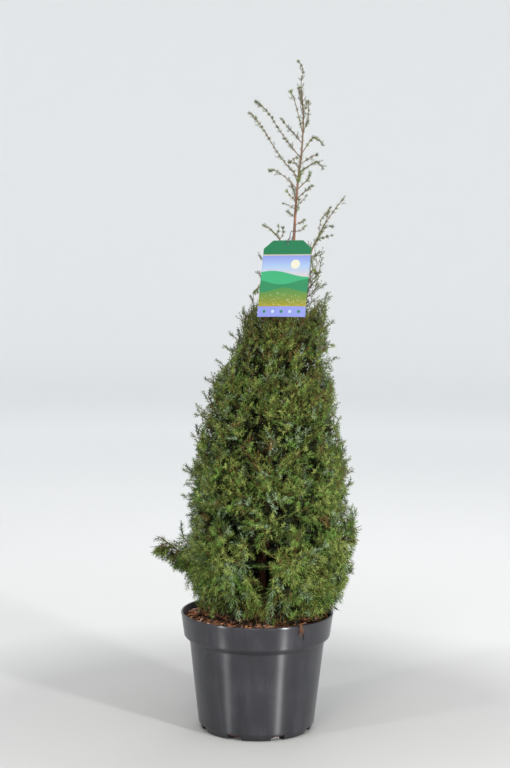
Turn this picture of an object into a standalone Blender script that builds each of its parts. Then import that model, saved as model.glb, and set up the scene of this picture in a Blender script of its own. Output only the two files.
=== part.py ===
"""Potted common juniper, one young plant in a twelve litre nursery pot.

Metres, +Z up. The origin is the middle of the pot's underside, on the surface
that the pot stands on. The front of the plant, with its label, faces -Y.

The plant is a trunk that runs from the soil to just under the tip, boughs that
rise from it in three whorls, and masses of foliage. Each mass grows from one
stem and keeps to its own space, which is the part of the crown that lies nearer
to its stem than to any other stem.
"""
import math
import random
from dataclasses import dataclass, field

import bmesh
import bpy
import numpy as np
from mathutils import Matrix, Vector
from mathutils.bvhtree import BVHTree

# Pot, a moulded nursery container with a tapered rim band
POT_HEIGHT = 0.2339
POT_RIM_RADIUS = 0.1511
POT_BAND_FOOT = (0.1450, 0.1890)
POT_WALL_TOP = (0.1338, 0.1770)
POT_WALL_FOOT = (0.1146, 0.0120)
POT_FOOT_RADIUS = 0.1086
POT_WALL = 0.0020
POT_PAD_RADIUS = 0.0340
POT_CHANNEL_HEIGHT = 0.0040
POT_FLOOR_HEIGHT = 0.0065
POT_SEGMENTS = 40
NOTCH_COUNT = 8
NOTCH_WIDTH = 0.0280
NOTCH_HEIGHT = 0.0110

# Soil, and the gap that touching pieces keep
FIT_GAP = 0.0003
SOIL_EDGE_HEIGHT = 0.2180
SOIL_SEAT_HEIGHT = 0.2210
SOIL_SEAT_RADIUS = 0.0230
SEAT_START = 0.050
SEAT_RAYS = 36

# Trunk: its middle line (x, y, z) and its radius at each of those points
TRUNK_LINE = [
    (0.0090, 0.0000, SOIL_SEAT_HEIGHT + FIT_GAP), (0.0088, 0.0000, 0.2350), (0.0085, 0.0010, 0.3000),
    (0.0090, 0.0030, 0.4000), (0.0130, 0.0040, 0.5000), (0.0185, 0.0020, 0.6000), (0.0290, 0.0000, 0.7000),
    (0.0430, 0.0000, 0.8000), (0.0575, 0.0015, 0.9000), (0.0645, 0.0015, 0.9700), (0.0672, 0.0010, 1.0300),
    (0.0710, 0.0010, 1.0850), (0.0776, 0.0010, 1.1380), (0.0801, 0.0010, 1.1900), (0.0788, 0.0010, 1.2260),
    (0.0747, 0.0010, 1.2640),
]
TRUNK_RADII = [0.0175, 0.0112, 0.0094, 0.0078, 0.0068, 0.0059, 0.0051, 0.0043, 0.0034, 0.0027, 0.0023, 0.0020,
               0.0017, 0.0014, 0.0011, 0.0008]
TRUNK_SIDES = 8
PLANT_TIP = [(0.0756, 0.0010, 1.2815), (0.0783, 0.0005, 1.2968), (0.0668, 0.0000, 1.3130)]

# Crown: its middle line leans to the right as it rises, and its outline narrows
CROWN_AXIS = [(0.25, 0.0200), (0.62, 0.0210), (0.70, 0.0280), (0.75, 0.0430), (0.81, 0.0500), (0.86, 0.0580),
              (0.95, 0.0650)]
CROWN_OUTLINE = [(0.225, 0.122), (0.26, 0.146), (0.30, 0.156), (0.45, 0.158), (0.50, 0.155), (0.555, 0.149),
                 (0.615, 0.135), (0.655, 0.124), (0.695, 0.112), (0.755, 0.095), (0.81, 0.082), (0.86, 0.069),
                 (0.91, 0.056), (0.95, 0.045), (0.985, 0.030)]
TUFT_REACH = 0.010

# Label card and the tie that holds it to the trunk
TAG_WIDTH = 0.0968
TAG_HEIGHT = 0.1524
TAG_CHAMFER = (0.0179, 0.0164)
TAG_THICKNESS = 0.0008
TAG_MIDDLE = (0.0459, -0.0700, 0.8976)
TAG_TURN = math.radians(-20.5)
TAG_LEAN = math.radians(-1.8)
TAG_TILT = math.radians(20.0)
TAG_HOLE_DROP = 0.0080
TIE_RADIUS = 0.0008
TAG_HOLE_RADIUS = TIE_RADIUS + 0.0005
TIE_HEIGHT = 0.9850
TIE_POINTS = 30
TIE_SIDES = 4

# Growth of twigs and sprays, and the gaps that a mass keeps to its neighbours and to limbs
GOLDEN_ANGLE = math.radians(137.5)
SPACE_GAP = 0.0008
LIMB_GAP = 0.0012
MARCH_STEP = 0.004
TWIG_REACH = 0.130
OPEN_SWING = 8
CORED_SWING = 28
SPRAY_RISE = 0.60
SPRAY_ROLL = math.radians(40)
SPRAY_SHARES = (1.0, 0.84, 0.68)
SHOWING_DEPTH = 0.024
SEED = 11

# Blade that stands for a spray of needles: its toothed outline and its ridge, in blade lengths
BLADE_SHAPE = [(0.0, 0.0), (0.36, 0.50), (0.54, 0.20), (1.0, 0.0), (0.60, -0.46)]
BLADE_WIDTH = 0.40
BLADE_THICKNESS = 0.10
BLADE_RIDGE = 0.42

# Core of a dense mass, and how much thicker the limbs are that it is cut clear of
CORE_MIDDLE = 0.50
CORE_REACH = 0.150
CORE_INSET = 0.028
CORE_SHARE = 0.90
CORE_SWAY = math.radians(12)
ROOT_DEPTH = 0.004
GUARD_EXTRA = 0.0015
GUARD_BEYOND = 0.0020


@dataclass
class Mass:
    """One mass of foliage: the line of its stem and how freely it fills its space."""
    name: str
    line: list
    way: Vector
    radius: float
    twigs: int
    blade: float
    width: float
    cored: bool = False
    open_angle: float = 58.0
    in_crown: bool = True
    seed: int = 0
    points: np.ndarray = field(default=None, repr=False)


def at_height(table, z):
    """Value of a (height, value) table at height z."""
    return float(np.interp(z, [row[0] for row in table], [row[1] for row in table]))


def curve_points(knots, count):
    """Evenly spread points of a smooth curve through the knots."""
    knots = [Vector(knot) for knot in knots]
    ends = [2 * knots[0] - knots[1]] + knots + [2 * knots[-1] - knots[-2]]
    spans = len(knots) - 1
    points = []
    for index in range(count):
        place = index * spans / (count - 1)
        span = min(int(place), spans - 1)
        t = place - span
        a, b, c, d = ends[span:span + 4]
        points.append(0.5 * (2 * b + (c - a) * t + (2 * a - 5 * b + 4 * c - d) * t ** 2
                             + (3 * b - a - 3 * c + d) * t ** 3))
    return points


def trunk_at(z):
    """Middle of the trunk at height z."""
    heights = [point[2] for point in TRUNK_LINE]
    return Vector([float(np.interp(z, heights, [point[axis] for point in TRUNK_LINE])) for axis in range(3)])


def around(azimuth):
    """Level direction at an azimuth in degrees, 0 at +X and 270 towards the front."""
    return Vector((math.cos(math.radians(azimuth)), math.sin(math.radians(azimuth)), 0.0))


def material(name, colour, roughness):
    """Plain material of one colour."""
    made = bpy.data.materials.new(name)
    made.use_nodes = True
    shader = made.node_tree.nodes["Principled BSDF"]
    shader.inputs["Base Color"].default_value = (*colour, 1.0)
    shader.inputs["Roughness"].default_value = roughness
    shader.inputs["Metallic"].default_value = 0.0
    return made


def add_object(name, bm, finish=None, smooth_angle=None, collection=None):
    """Object from a bmesh, with its faces pointing out."""
    bmesh.ops.recalc_face_normals(bm, faces=bm.faces)
    mesh = bpy.data.meshes.new(name)
    bm.to_mesh(mesh)
    bm.free()
    if smooth_angle is not None:
        mesh.shade_smooth()
        mesh.set_sharp_from_angle(angle=math.radians(smooth_angle))
    obj = bpy.data.objects.new(name, mesh)
    (collection or bpy.context.scene.collection).objects.link(obj)
    if finish:
        mesh.materials.append(finish)
    return obj


def turned(profile, segments):
    """Closed body turned about Z from an outline that runs from one flat end to the other."""
    bm = bmesh.new()
    rings = []
    for radius, height in profile:
        raised = Matrix.Translation((0, 0, height))
        rings.append(bmesh.ops.create_circle(bm, segments=segments, radius=radius, matrix=raised)["verts"])
    for lower, upper in zip(rings, rings[1:]):
        for side in range(segments):
            after = (side + 1) % segments
            bm.faces.new((lower[side], lower[after], upper[after], upper[side]))
    bm.faces.new(rings[0])
    bm.faces.new(rings[-1])
    return bm


def tube(points, radii, sides, start_way=None, lobes=None):
    """Tapering limb along the points, with flat ends. Its first end faces back along start_way."""
    bm = bmesh.new()
    rings = []
    tangent = (points[1] - points[0]).normalized()
    side_way = tangent.orthogonal().normalized()
    for index, point in enumerate(points):
        before, after = points[max(index - 1, 0)], points[min(index + 1, len(points) - 1)]
        tangent = (after - before).normalized()
        if start_way and index == 0:
            tangent = start_way
        side_way = (side_way - tangent * side_way.dot(tangent)).normalized()
        other_way = tangent.cross(side_way)
        ring = []
        for side in range(sides):
            angle = 2 * math.pi * side / sides
            radius = radii[index]
            if lobes and index in lobes:
                radius *= 1 + lobes[index] * math.cos(angle * 3)
            out = side_way * math.cos(angle) + other_way * math.sin(angle)
            ring.append(bm.verts.new(point + out * radius))
        if rings:
            for side in range(sides):
                after_side = (side + 1) % sides
                bm.faces.new((rings[-1][side], rings[-1][after_side], ring[after_side], ring[side]))
        rings.append(ring)
    bm.faces.new(rings[0])
    bm.faces.new(rings[-1])
    return bm


def make_pot(finish):
    """Pot: turned wall and floor, with drain notches cut through its foot."""
    inner_wall = POT_WALL_FOOT[0] - POT_WALL
    profile = [
        (POT_PAD_RADIUS, 0.0), (POT_PAD_RADIUS + 0.004, POT_CHANNEL_HEIGHT),
        (POT_FOOT_RADIUS - 0.028, POT_CHANNEL_HEIGHT), (POT_FOOT_RADIUS - 0.024, 0.0),
        (POT_FOOT_RADIUS, 0.0), POT_WALL_FOOT, POT_WALL_TOP, POT_BAND_FOOT,
        (POT_RIM_RADIUS, POT_HEIGHT - 0.0015), (POT_RIM_RADIUS - 0.001, POT_HEIGHT),
        (POT_RIM_RADIUS - 0.003, POT_HEIGHT), (POT_RIM_RADIUS - 0.004, POT_HEIGHT - 0.003),
        (POT_BAND_FOOT[0] - POT_WALL, POT_BAND_FOOT[1] + 0.001),
        (POT_WALL_TOP[0] - POT_WALL, POT_WALL_TOP[1] + 0.001),
        (inner_wall, POT_WALL_FOOT[1]), (inner_wall - 0.004, POT_FLOOR_HEIGHT),
    ]
    pot = add_object("pot", turned(profile, POT_SEGMENTS), finish, smooth_angle=30)
    for index in range(NOTCH_COUNT):
        turn = math.radians((index + 0.5) * 360 / NOTCH_COUNT)
        cutter_mesh = bmesh.new()
        bmesh.ops.create_cube(cutter_mesh, size=1.0)
        cutter = add_object(f"notch_cutter_{index + 1}", cutter_mesh)
        cutter.scale = (0.024, NOTCH_WIDTH, 2 * NOTCH_HEIGHT)
        cutter.rotation_euler = (0, 0, turn)
        cutter.location = Matrix.Rotation(turn, 3, "Z") @ Vector((POT_FOOT_RADIUS - 0.0005, 0, 0))
        cutter.hide_render = True
        cutter.display_type = "WIRE"
        cut = pot.modifiers.new(f"drain_notch_{index + 1}", "BOOLEAN")
        cut.object = cutter
        cut.operation = "DIFFERENCE"
    return pot


def make_soil(finish):
    """Soil: a plug that fills the pot, with a flat seat for the trunk and a low mound round it."""
    inset = POT_WALL + FIT_GAP * 1.3
    slope = (POT_RIM_RADIUS - POT_BAND_FOOT[0]) / (POT_HEIGHT - POT_BAND_FOOT[1])
    edge_radius = POT_BAND_FOOT[0] - inset - 0.0014 + slope * (SOIL_EDGE_HEIGHT - POT_BAND_FOOT[1])
    profile = [
        (POT_WALL_FOOT[0] - inset - 0.0045, POT_FLOOR_HEIGHT + FIT_GAP),
        (POT_WALL_FOOT[0] - inset, POT_WALL_FOOT[1] + 0.0010),
        (POT_WALL_TOP[0] - inset - 0.0002, POT_WALL_TOP[1] + 0.0010),
        (POT_BAND_FOOT[0] - inset - 0.0004, POT_BAND_FOOT[1] + 0.0018),
        (edge_radius, SOIL_EDGE_HEIGHT),
        (edge_radius - 0.050, SOIL_EDGE_HEIGHT + 0.0020),
        (SOIL_SEAT_RADIUS, SOIL_SEAT_HEIGHT),
    ]
    return add_object("soil", turned(profile, POT_SEGMENTS), finish, smooth_angle=40)


def make_trunk(finish):
    """Trunk: leans to the right as it rises, with a root flare that is cut flat on the soil."""
    points = [Vector(point) for point in TRUNK_LINE]
    points[1] = Vector((points[0].x, points[0].y, points[1].z))
    flare = {0: 0.18, 1: 0.06}
    return add_object("trunk", tube(points, TRUNK_RADII, TRUNK_SIDES, lobes=flare), finish, smooth_angle=50)


def leave_trunk(trunk_tree, height, level, radius):
    """Where a limb of a radius starts, just clear of the trunk, and its way there, square to the trunk."""
    middle = trunk_at(height)
    along = (trunk_at(height + 0.01) - trunk_at(height - 0.01)).normalized()
    way = (level - along * level.dot(along)).normalized()
    outside = middle + way * SEAT_START
    across = along.cross(way)
    spots = [outside]
    for step in range(SEAT_RAYS):
        angle = 2 * math.pi * step / SEAT_RAYS
        spots.append(outside + (along * math.cos(angle) + across * math.sin(angle)) * radius)
    hits = [trunk_tree.ray_cast(spot, -way, SEAT_START)[3] for spot in spots]
    nearest = min(hit for hit in hits if hit is not None)
    return outside - way * (nearest - FIT_GAP), way


def bough_line(start, way, end):
    """Line of a bough: level where it leaves the trunk, then rising to its end."""
    bend = start + way * 0.014 + Vector((0, 0, 0.004))
    halfway = bend.lerp(end, 0.5) + Vector((0, 0, -0.004))
    return curve_points([start, bend, halfway, end], 5)


def crown_point(azimuth, radius, height):
    """Point at a radius from the crown's middle line."""
    return Vector((at_height(CROWN_AXIS, height), 0, height)) + around(azimuth) * radius


# Whorls of boughs, lowest first: name, boughs, first azimuth, height where the first leaves the trunk and the
# rise of each next one, bough end (radius, height), stem bend and stem end (radius, height), bough radius at
# its foot and tip, twigs in a mass, blade length
WHORLS = [
    ("low", 6, -8.0, 0.2460, 0.0060,
     (0.050, 0.2800), (0.100, 0.2950), (0.134, 0.3700), 0.0046, 0.0030, 27, 0.062),
    ("middle", 5, 54.0, 0.3600, 0.0080,
     (0.050, 0.4250), (0.098, 0.4550), (0.124, 0.5300), 0.0040, 0.0026, 31, 0.062),
    ("upper", 4, 25.0, 0.5050, 0.0090,
     (0.038, 0.5700), (0.080, 0.6050), (0.090, 0.6900), 0.0034, 0.0022, 28, 0.060),
]
# Boughs that reach further than their whorl: (whorl, place in it) to the stem's end (radius, height)
FAR_REACH = {("low", 3): (0.214, 0.3720), ("low", 0): (0.166, 0.4200)}
FAR_REACH_TWIGS = 7

# Masses that grow straight from the trunk, by whorls: name, count, first azimuth, height and rise,
# stem bend and stem end (radius, height), twigs, blade length
TRUNK_WHORLS = [
    ("shoulder", 4, 0.0, 0.6650, 0.0090, (0.040, 0.7150), (0.062, 0.8050), 17, 0.056),
    ("neck", 3, 35.0, 0.8100, 0.0120, (0.026, 0.8600), (0.038, 0.9350), 8, 0.040),
]

# Shoots of the leader: name, height where it leaves the trunk, then the points that its stem passes
LEADER_SHOOTS = [
    ("left_long", 1.0903, [(0.0367, -0.0057, 1.1286), (-0.0027, -0.0123, 1.1883), (-0.0248, -0.0190, 1.2135)]),
    ("left_high", 1.1278, [(0.0455, 0.0070, 1.1636), (0.0087, 0.0130, 1.2174), (-0.0135, 0.0190, 1.2354)]),
    ("left_back", 1.1560, [(0.0598, 0.0130, 1.1767), (0.0349, 0.0250, 1.2038)]),
    ("left_top", 1.1753, [(0.0725, -0.0060, 1.1995), (0.0612, -0.0100, 1.2400), (0.0532, -0.0130, 1.2551)]),
    ("right_top", 1.1800, [(0.0891, 0.0060, 1.2020), (0.0900, 0.0110, 1.2386)]),
    ("right_arch", 1.1381, [(0.0958, -0.0050, 1.1625), (0.1059, -0.0110, 1.1638), (0.1193, -0.0170, 1.1510)]),
    ("right_middle", 1.1160, [(0.0953, -0.0060, 1.1285), (0.1076, -0.0120, 1.1330)]),
    ("right_back", 1.1010, [(0.0994, 0.0097, 1.1164), (0.1100, 0.0183, 1.1179), (0.1214, 0.0270, 1.1064)]),
    ("right_low", 1.0679, [(0.0902, -0.0070, 1.0867), (0.0937, -0.0150, 1.0983)]),
    ("right_foot", 1.0500, [(0.0894, 0.0060, 1.0660), (0.0986, 0.0110, 1.0738)]),
    ("left_low", 1.0684, [(0.0501, -0.0030, 1.0863), (0.0279, -0.0070, 1.1015), (0.0149, -0.0110, 1.1014)]),
    ("back", 1.0350, [(0.0650, 0.0240, 1.0600), (0.0600, 0.0460, 1.0750)]),
    ("front", 1.0780, [(0.0740, -0.0200, 1.0880), (0.0750, -0.0370, 1.1010)]),
]
SIDE_LEADER_BOUGH = [(0.0740, -0.0040, 0.8400), (0.0986, -0.0120, 0.9494)]
SIDE_LEADER_TIP = [(0.1087, -0.0110, 0.9691), (0.1264, -0.0090, 1.0043), (0.1624, -0.0070, 1.0551)]
LEFT_STEM_HEIGHT = 0.9300
LEFT_STEM_TIP = [(0.0398, 0.0080, 0.9645), (0.0227, 0.0060, 0.9851), (0.0030, 0.0040, 0.9978)]


def plan_boughs_and_masses(trunk_tree):
    """Every bough as (name, points, radii, way at its foot), and every mass."""
    boughs, masses = [], []
    for (name, count, first, leave, rise, bough_end, bend, stem_end, foot, tip, twigs, blade) in WHORLS:
        for index in range(count):
            azimuth = first + index * 360 / count
            start, way = leave_trunk(trunk_tree, leave + rise * (index % 3), around(azimuth), foot)
            points = bough_line(start, way, crown_point(azimuth, *bough_end))
            boughs.append((f"bough_{name}_{index + 1}", points, np.linspace(foot, tip, len(points)), way))
            way = (points[-1] - points[-2]).normalized()
            start = points[-1] + way * FIT_GAP
            far = FAR_REACH.get((name, index), stem_end)
            line = [start, start + way * 0.012, crown_point(azimuth, *bend), crown_point(azimuth, *far)]
            mass = Mass(f"foliage_{name}_{index + 1}", line, way, tip, twigs, blade, 0.034, cored=True)
            if (name, index) in FAR_REACH:
                mass.twigs += FAR_REACH_TWIGS
            masses.append(mass)
    for name, count, first, leave, rise, bend, stem_end, twigs, blade in TRUNK_WHORLS:
        for index in range(count):
            azimuth = first + index * 360 / count
            start, way = leave_trunk(trunk_tree, leave + rise * (index % 3), around(azimuth), 0.0018)
            line = [start, crown_point(azimuth, *bend), crown_point(azimuth, *stem_end)]
            masses.append(Mass(f"foliage_{name}_{index + 1}", line, way, 0.0018, twigs, blade, 0.026,
                               cored=name == "shoulder", open_angle=42.0))
    for name, leave, knots in LEADER_SHOOTS:
        level = Vector(knots[0]) - trunk_at(leave)
        level = Vector((level.x, level.y, 0)).normalized()
        start, way = leave_trunk(trunk_tree, leave, level, 0.0010)
        twigs = 1 + int((Vector(knots[-1]) - start).length / 0.023)
        masses.append(Mass(f"shoot_{name}", [start, *knots], way, 0.0010, twigs, 0.022, 0.020,
                           open_angle=42.0, in_crown=False))
    start, way = leave_trunk(trunk_tree, 0.7900, around(-8), 0.0026)
    rise = start + way * 0.012 + Vector((0, 0, 0.010))
    points = curve_points([start, rise, *SIDE_LEADER_BOUGH], 7)
    boughs.append(("bough_side_leader", points, np.linspace(0.0026, 0.0017, len(points)), way))
    way = (points[-1] - points[-2]).normalized()
    masses.append(Mass("shoot_side_leader", [points[-1] + way * FIT_GAP, *SIDE_LEADER_TIP], way, 0.0017,
                       5, 0.026, 0.024, open_angle=42.0, in_crown=False))
    start, way = leave_trunk(trunk_tree, LEFT_STEM_HEIGHT, around(170), 0.0014)
    masses.append(Mass("shoot_left_stem", [start, *LEFT_STEM_TIP], way, 0.0014, 3, 0.026, 0.022,
                       open_angle=42.0, in_crown=False))
    top = Vector(TRUNK_LINE[-1])
    way = (top - Vector(TRUNK_LINE[-2])).normalized()
    masses.append(Mass("shoot_tip", [top + way * FIT_GAP, *PLANT_TIP], way, 0.0008, 3, 0.020, 0.014,
                       open_angle=34.0, in_crown=False))
    for index, mass in enumerate(masses):
        mass.points = np.array([list(point) for point in curve_points(mass.line, 6 if mass.in_crown else 5)])
        mass.seed = SEED + index
    return boughs, masses


def distance_to_segments(point, starts, ends):
    """Distance from a point to each segment, and where on it the nearest place lies."""
    along = ends - starts
    t = np.clip(((point - starts) * along).sum(1) / np.maximum((along ** 2).sum(1), 1e-12), 0, 1)
    return np.linalg.norm(starts + along * t[:, None] - point, axis=1), t


class Spaces:
    """Which mass a point of the crown belongs to, and what it must stay clear of."""

    def __init__(self, boughs, masses, tag_frame, tie_points):
        self.stem_starts = np.concatenate([mass.points[:-1] for mass in masses])
        self.stem_ends = np.concatenate([mass.points[1:] for mass in masses])
        self.stem_owner = np.repeat(np.arange(len(masses)), [len(mass.points) - 1 for mass in masses])
        lines = [(np.array(TRUNK_LINE), np.array(TRUNK_RADII))]
        for _, points, radii, _ in boughs:
            lines.append((np.array([list(point) for point in points]), np.array(radii)))
        loop = np.array([list(point) for point in [*tie_points, tie_points[0]]])
        lines.append((loop, np.full(len(loop), TIE_RADIUS)))
        self.limb_starts = np.concatenate([line[:-1] for line, _ in lines])
        self.limb_ends = np.concatenate([line[1:] for line, _ in lines])
        self.limb_radii = np.concatenate([np.stack([radii[:-1], radii[1:]], 1) for _, radii in lines])
        self.tag_frame = tag_frame

    def depth(self, point):
        """How far below the crown's outline a point lies."""
        off_axis = math.hypot(point[0] - at_height(CROWN_AXIS, point[2]), point[1])
        return at_height(CROWN_OUTLINE, point[2]) - off_axis

    def holds(self, index, mass, point, reach_out=0.0, crown_only=False):
        """Whether the point lies in the mass's own space."""
        point = np.asarray(point, dtype=float)
        from_pot = math.hypot(point[0], point[1])
        floor = SOIL_SEAT_HEIGHT + 0.005 if from_pot < POT_RIM_RADIUS - 0.012 else POT_HEIGHT + 0.004
        if point[2] < floor:
            return False
        gaps, _ = distance_to_segments(point, self.stem_starts, self.stem_ends)
        own = gaps[self.stem_owner == index].min()
        if own + 2 * SPACE_GAP > gaps[self.stem_owner != index].min():
            return False
        in_crown = False
        if mass.in_crown:
            in_crown = point[2] < CROWN_OUTLINE[-1][0] and self.depth(point) > -reach_out
        if not in_crown and (crown_only or own > mass.width + reach_out):
            return False
        gaps, t = distance_to_segments(point, self.limb_starts, self.limb_ends)
        radii = self.limb_radii[:, 0] * (1 - t) + self.limb_radii[:, 1] * t
        if (gaps - radii).min() < LIMB_GAP:
            return False
        across, up, out = self.tag_frame.inverted() @ Vector(point)
        behind_tag = abs(across) < TAG_WIDTH / 2 + 0.006 and abs(up) < TAG_HEIGHT / 2 + 0.006
        return not (behind_tag and out > -0.004)

    def reach(self, index, mass, start, way, limit, reach_out=0.0, crown_only=False):
        """How far a twig can grow from its start before it leaves the space."""
        far = 0.0
        while far < limit and self.holds(index, mass, start + way * (far + MARCH_STEP), reach_out, crown_only):
            far += MARCH_STEP
        return far


def blade_points(root, way, face, length):
    """Outline and two ridge points of a toothed blade that stands for a spray of needles."""
    across = way.cross(face).normalized()
    face = across.cross(way).normalized()
    width = BLADE_WIDTH * length
    outline = [root + way * (u * length) + across * (v * width) for u, v in BLADE_SHAPE]
    middle = root + way * (BLADE_RIDGE * length)
    lift = face * (BLADE_THICKNESS * length / 2)
    return outline, (middle + lift, middle - lift)


def blade(outline, ridges):
    """Solid blade: thick along its middle, sharp at its toothed edge."""
    bm = bmesh.new()
    rim = [bm.verts.new(point) for point in outline]
    for ridge in ridges:
        top = bm.verts.new(ridge)
        for index, corner in enumerate(rim):
            bm.faces.new((corner, rim[(index + 1) % len(rim)], top))
    return bm


def grow(index, mass, spaces):
    """Twigs and sprays of a mass: twigs leave the stem by the golden angle, and each carries a rising spray."""
    rng = random.Random(mass.seed)
    stem = [Vector(point) for point in mass.points]
    twigs, sprays = [], []
    turn = rng.uniform(0, 2 * math.pi)
    for number in range(mass.twigs + 1):
        last = number == mass.twigs
        place = (0.12 + 0.86 * (number + 0.5) / mass.twigs) * (len(stem) - 1)
        span = min(int(place), len(stem) - 2)
        base = stem[-1] if last else stem[span].lerp(stem[span + 1], place - span)
        along = (stem[-1] - stem[-2] if last else stem[span + 1] - stem[span]).normalized()
        turn += GOLDEN_ANGLE
        side_way = Matrix.Rotation(turn, 3, along) @ along.orthogonal().normalized()
        swing = CORED_SWING if mass.cored else OPEN_SWING
        angle = math.radians(mass.open_angle + rng.uniform(-swing, swing))
        way = along if last else along * math.cos(angle) + side_way * math.sin(angle)
        way = way.normalized()
        free = spaces.reach(index, mass, base, way, TWIG_REACH) * rng.uniform(0.92, 1.0)
        length = mass.blade * rng.uniform(0.88, 1.12)
        tip = base + way * free
        if mass.cored and not last and spaces.depth(tip) > SHOWING_DEPTH:
            continue
        rising = (way + Vector((0, 0, SPRAY_RISE))).normalized()
        if last:
            root = tip - rising * length * 0.22
        else:
            length = min(length, max(free, 0.012))
            root = tip - rising * length * 0.90
            if not mass.cored or spaces.depth(root) < CORE_INSET + ROOT_DEPTH:
                twigs.append([base, root + rising * length * 0.25])
        sprays.append((root, rising, rng.uniform(-SPRAY_ROLL, SPRAY_ROLL), length))
    return twigs, sprays


def fitted_blade(index, mass, spaces, root, way, roll, length):
    """Blade that lies across the outward way, shortened until it fits, or nothing where it never does."""
    across = way.cross(Vector((0, 0, 1)))
    across = across.normalized() if across.length > 0.05 else way.orthogonal().normalized()
    face = Matrix.Rotation(roll, 3, way) @ across.cross(way)
    for share in SPRAY_SHARES:
        outline, ridges = blade_points(root, way, face, length * share)
        tests = outline[1:] + list(ridges) + [root + way * (length * share * step) for step in (0.55, 0.85)]
        if all(spaces.holds(index, mass, point, reach_out=TUFT_REACH) for point in tests):
            return outline, ridges
    return None


def core(index, mass, spaces):
    """Core of a dense mass: a body smaller than its space, drawn out to the corners of that space."""
    middle = curve_points(mass.line, 101)[int(100 * CORE_MIDDLE)]
    bm = bmesh.new()
    bmesh.ops.create_icosphere(bm, subdivisions=2, radius=1.0)
    for vert in bm.verts:
        straight = vert.co.normalized()
        lean = Matrix.Rotation(CORE_SWAY, 3, straight.orthogonal()) @ straight
        ways = [straight] + [Matrix.Rotation(turn * math.pi / 3, 3, straight) @ lean for turn in range(6)]
        rooms = [spaces.reach(index, mass, middle, way, CORE_REACH, -CORE_INSET, crown_only=True)
                 for way in ways]
        room, way = max(zip(rooms, ways), key=lambda pair: pair[0])
        vert.co = middle + way * max(0.004, room * CORE_SHARE)
    return bm


def limb_guards(boughs):
    """Trunk and boughs made a little thicker, which every core is cut clear of."""
    guards = bpy.data.collections.new("limb_guards")
    bpy.context.scene.collection.children.link(guards)
    lines = [("trunk", [Vector(point) for point in TRUNK_LINE], TRUNK_RADII, TRUNK_SIDES)]
    for name, points, radii, way in boughs:
        beyond = points[-1] + (points[-1] - points[-2]).normalized() * GUARD_BEYOND
        line = [points[0] - way * GUARD_BEYOND, *points, beyond]
        lines.append((name, line, [radii[0], *radii, radii[-1]], 8))
    for name, points, radii, sides in lines:
        guard = add_object(f"{name}_guard", tube(points, [radius + GUARD_EXTRA for radius in radii], sides),
                           collection=guards)
        guard.hide_render = True
        guard.display_type = "WIRE"
    return guards


def applied(obj):
    """Mesh of an object with its modifiers applied."""
    bpy.context.view_layer.update()
    return bpy.data.meshes.new_from_object(obj.evaluated_get(bpy.context.evaluated_depsgraph_get()))


def join_collection(obj, collection, operation):
    """Boolean modifier with every object of a collection, applied."""
    step = obj.modifiers.new("join", "BOOLEAN")
    step.operation = operation
    step.operand_type = "COLLECTION"
    step.collection = collection
    step.solver = "MANIFOLD"
    obj.data = applied(obj)
    obj.modifiers.clear()


def outer_shell_only(mesh):
    """Keep the largest closed shell: a sealed hollow is filled and a loose scrap dropped."""
    bm = bmesh.new()
    bm.from_mesh(mesh)
    waiting = set(bm.verts)
    shells = []
    while waiting:
        stack = [waiting.pop()]
        shell = set(stack)
        while stack:
            for edge in stack.pop().link_edges:
                for other in edge.verts:
                    if other in waiting:
                        waiting.discard(other)
                        shell.add(other)
                        stack.append(other)
        shells.append(shell)
    keep = max(shells, key=len)
    extra = [vert for shell in shells if shell is not keep for vert in shell]
    bmesh.ops.delete(bm, geom=extra, context="VERTS")
    bm.to_mesh(mesh)
    bm.free()


def make_mass(index, mass, spaces, guards, finish):
    """One fused mass: its stem, twigs, blades and core joined by one Boolean union."""
    parts = bpy.data.collections.new(f"{mass.name}_parts")
    bpy.context.scene.collection.children.link(parts)
    stem_points = [Vector(point) for point in mass.points]
    radii = np.linspace(mass.radius, mass.radius * 0.4, len(stem_points))
    sides = 4 if mass.in_crown else 3
    stem = add_object(mass.name, tube(stem_points, radii, sides, start_way=mass.way), finish)
    twigs, sprays = grow(index, mass, spaces)
    if mass.cored:
        heart = add_object(f"{mass.name}_core", core(index, mass, spaces), collection=parts)
        join_collection(heart, guards, "DIFFERENCE")
    twig_radius = max(0.0007, mass.radius * 0.45)
    for number, points in enumerate(twigs):
        if spaces.holds(index, mass, points[1], reach_out=TUFT_REACH):
            radii = [twig_radius, twig_radius * 0.6]
            add_object(f"{mass.name}_twig_{number}", tube(points, radii, 3), collection=parts)
    for number, (root, way, roll, length) in enumerate(sprays):
        shape = fitted_blade(index, mass, spaces, root, way, roll, length)
        if shape:
            add_object(f"{mass.name}_blade_{number}", blade(*shape), collection=parts)
    join_collection(stem, parts, "UNION")
    stem.data.materials.clear()
    stem.data.materials.append(finish)
    outer_shell_only(stem.data)
    for obj in list(parts.objects):
        bpy.data.objects.remove(obj, do_unlink=True)
    bpy.data.collections.remove(parts)
    return stem


def tag_frame():
    """Frame of the label card: across, up and out of its face, at its middle."""
    turn = Matrix.Rotation(TAG_TURN, 4, "Z")
    lean = Matrix.Rotation(TAG_LEAN, 4, "Y")
    tilt = Matrix.Rotation(TAG_TILT, 4, "X")
    stand = Matrix(((1, 0, 0, 0), (0, 0, -1, 0), (0, 1, 0, 0), (0, 0, 0, 1)))
    return Matrix.Translation(TAG_MIDDLE) @ turn @ lean @ tilt.inverted() @ stand


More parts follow.
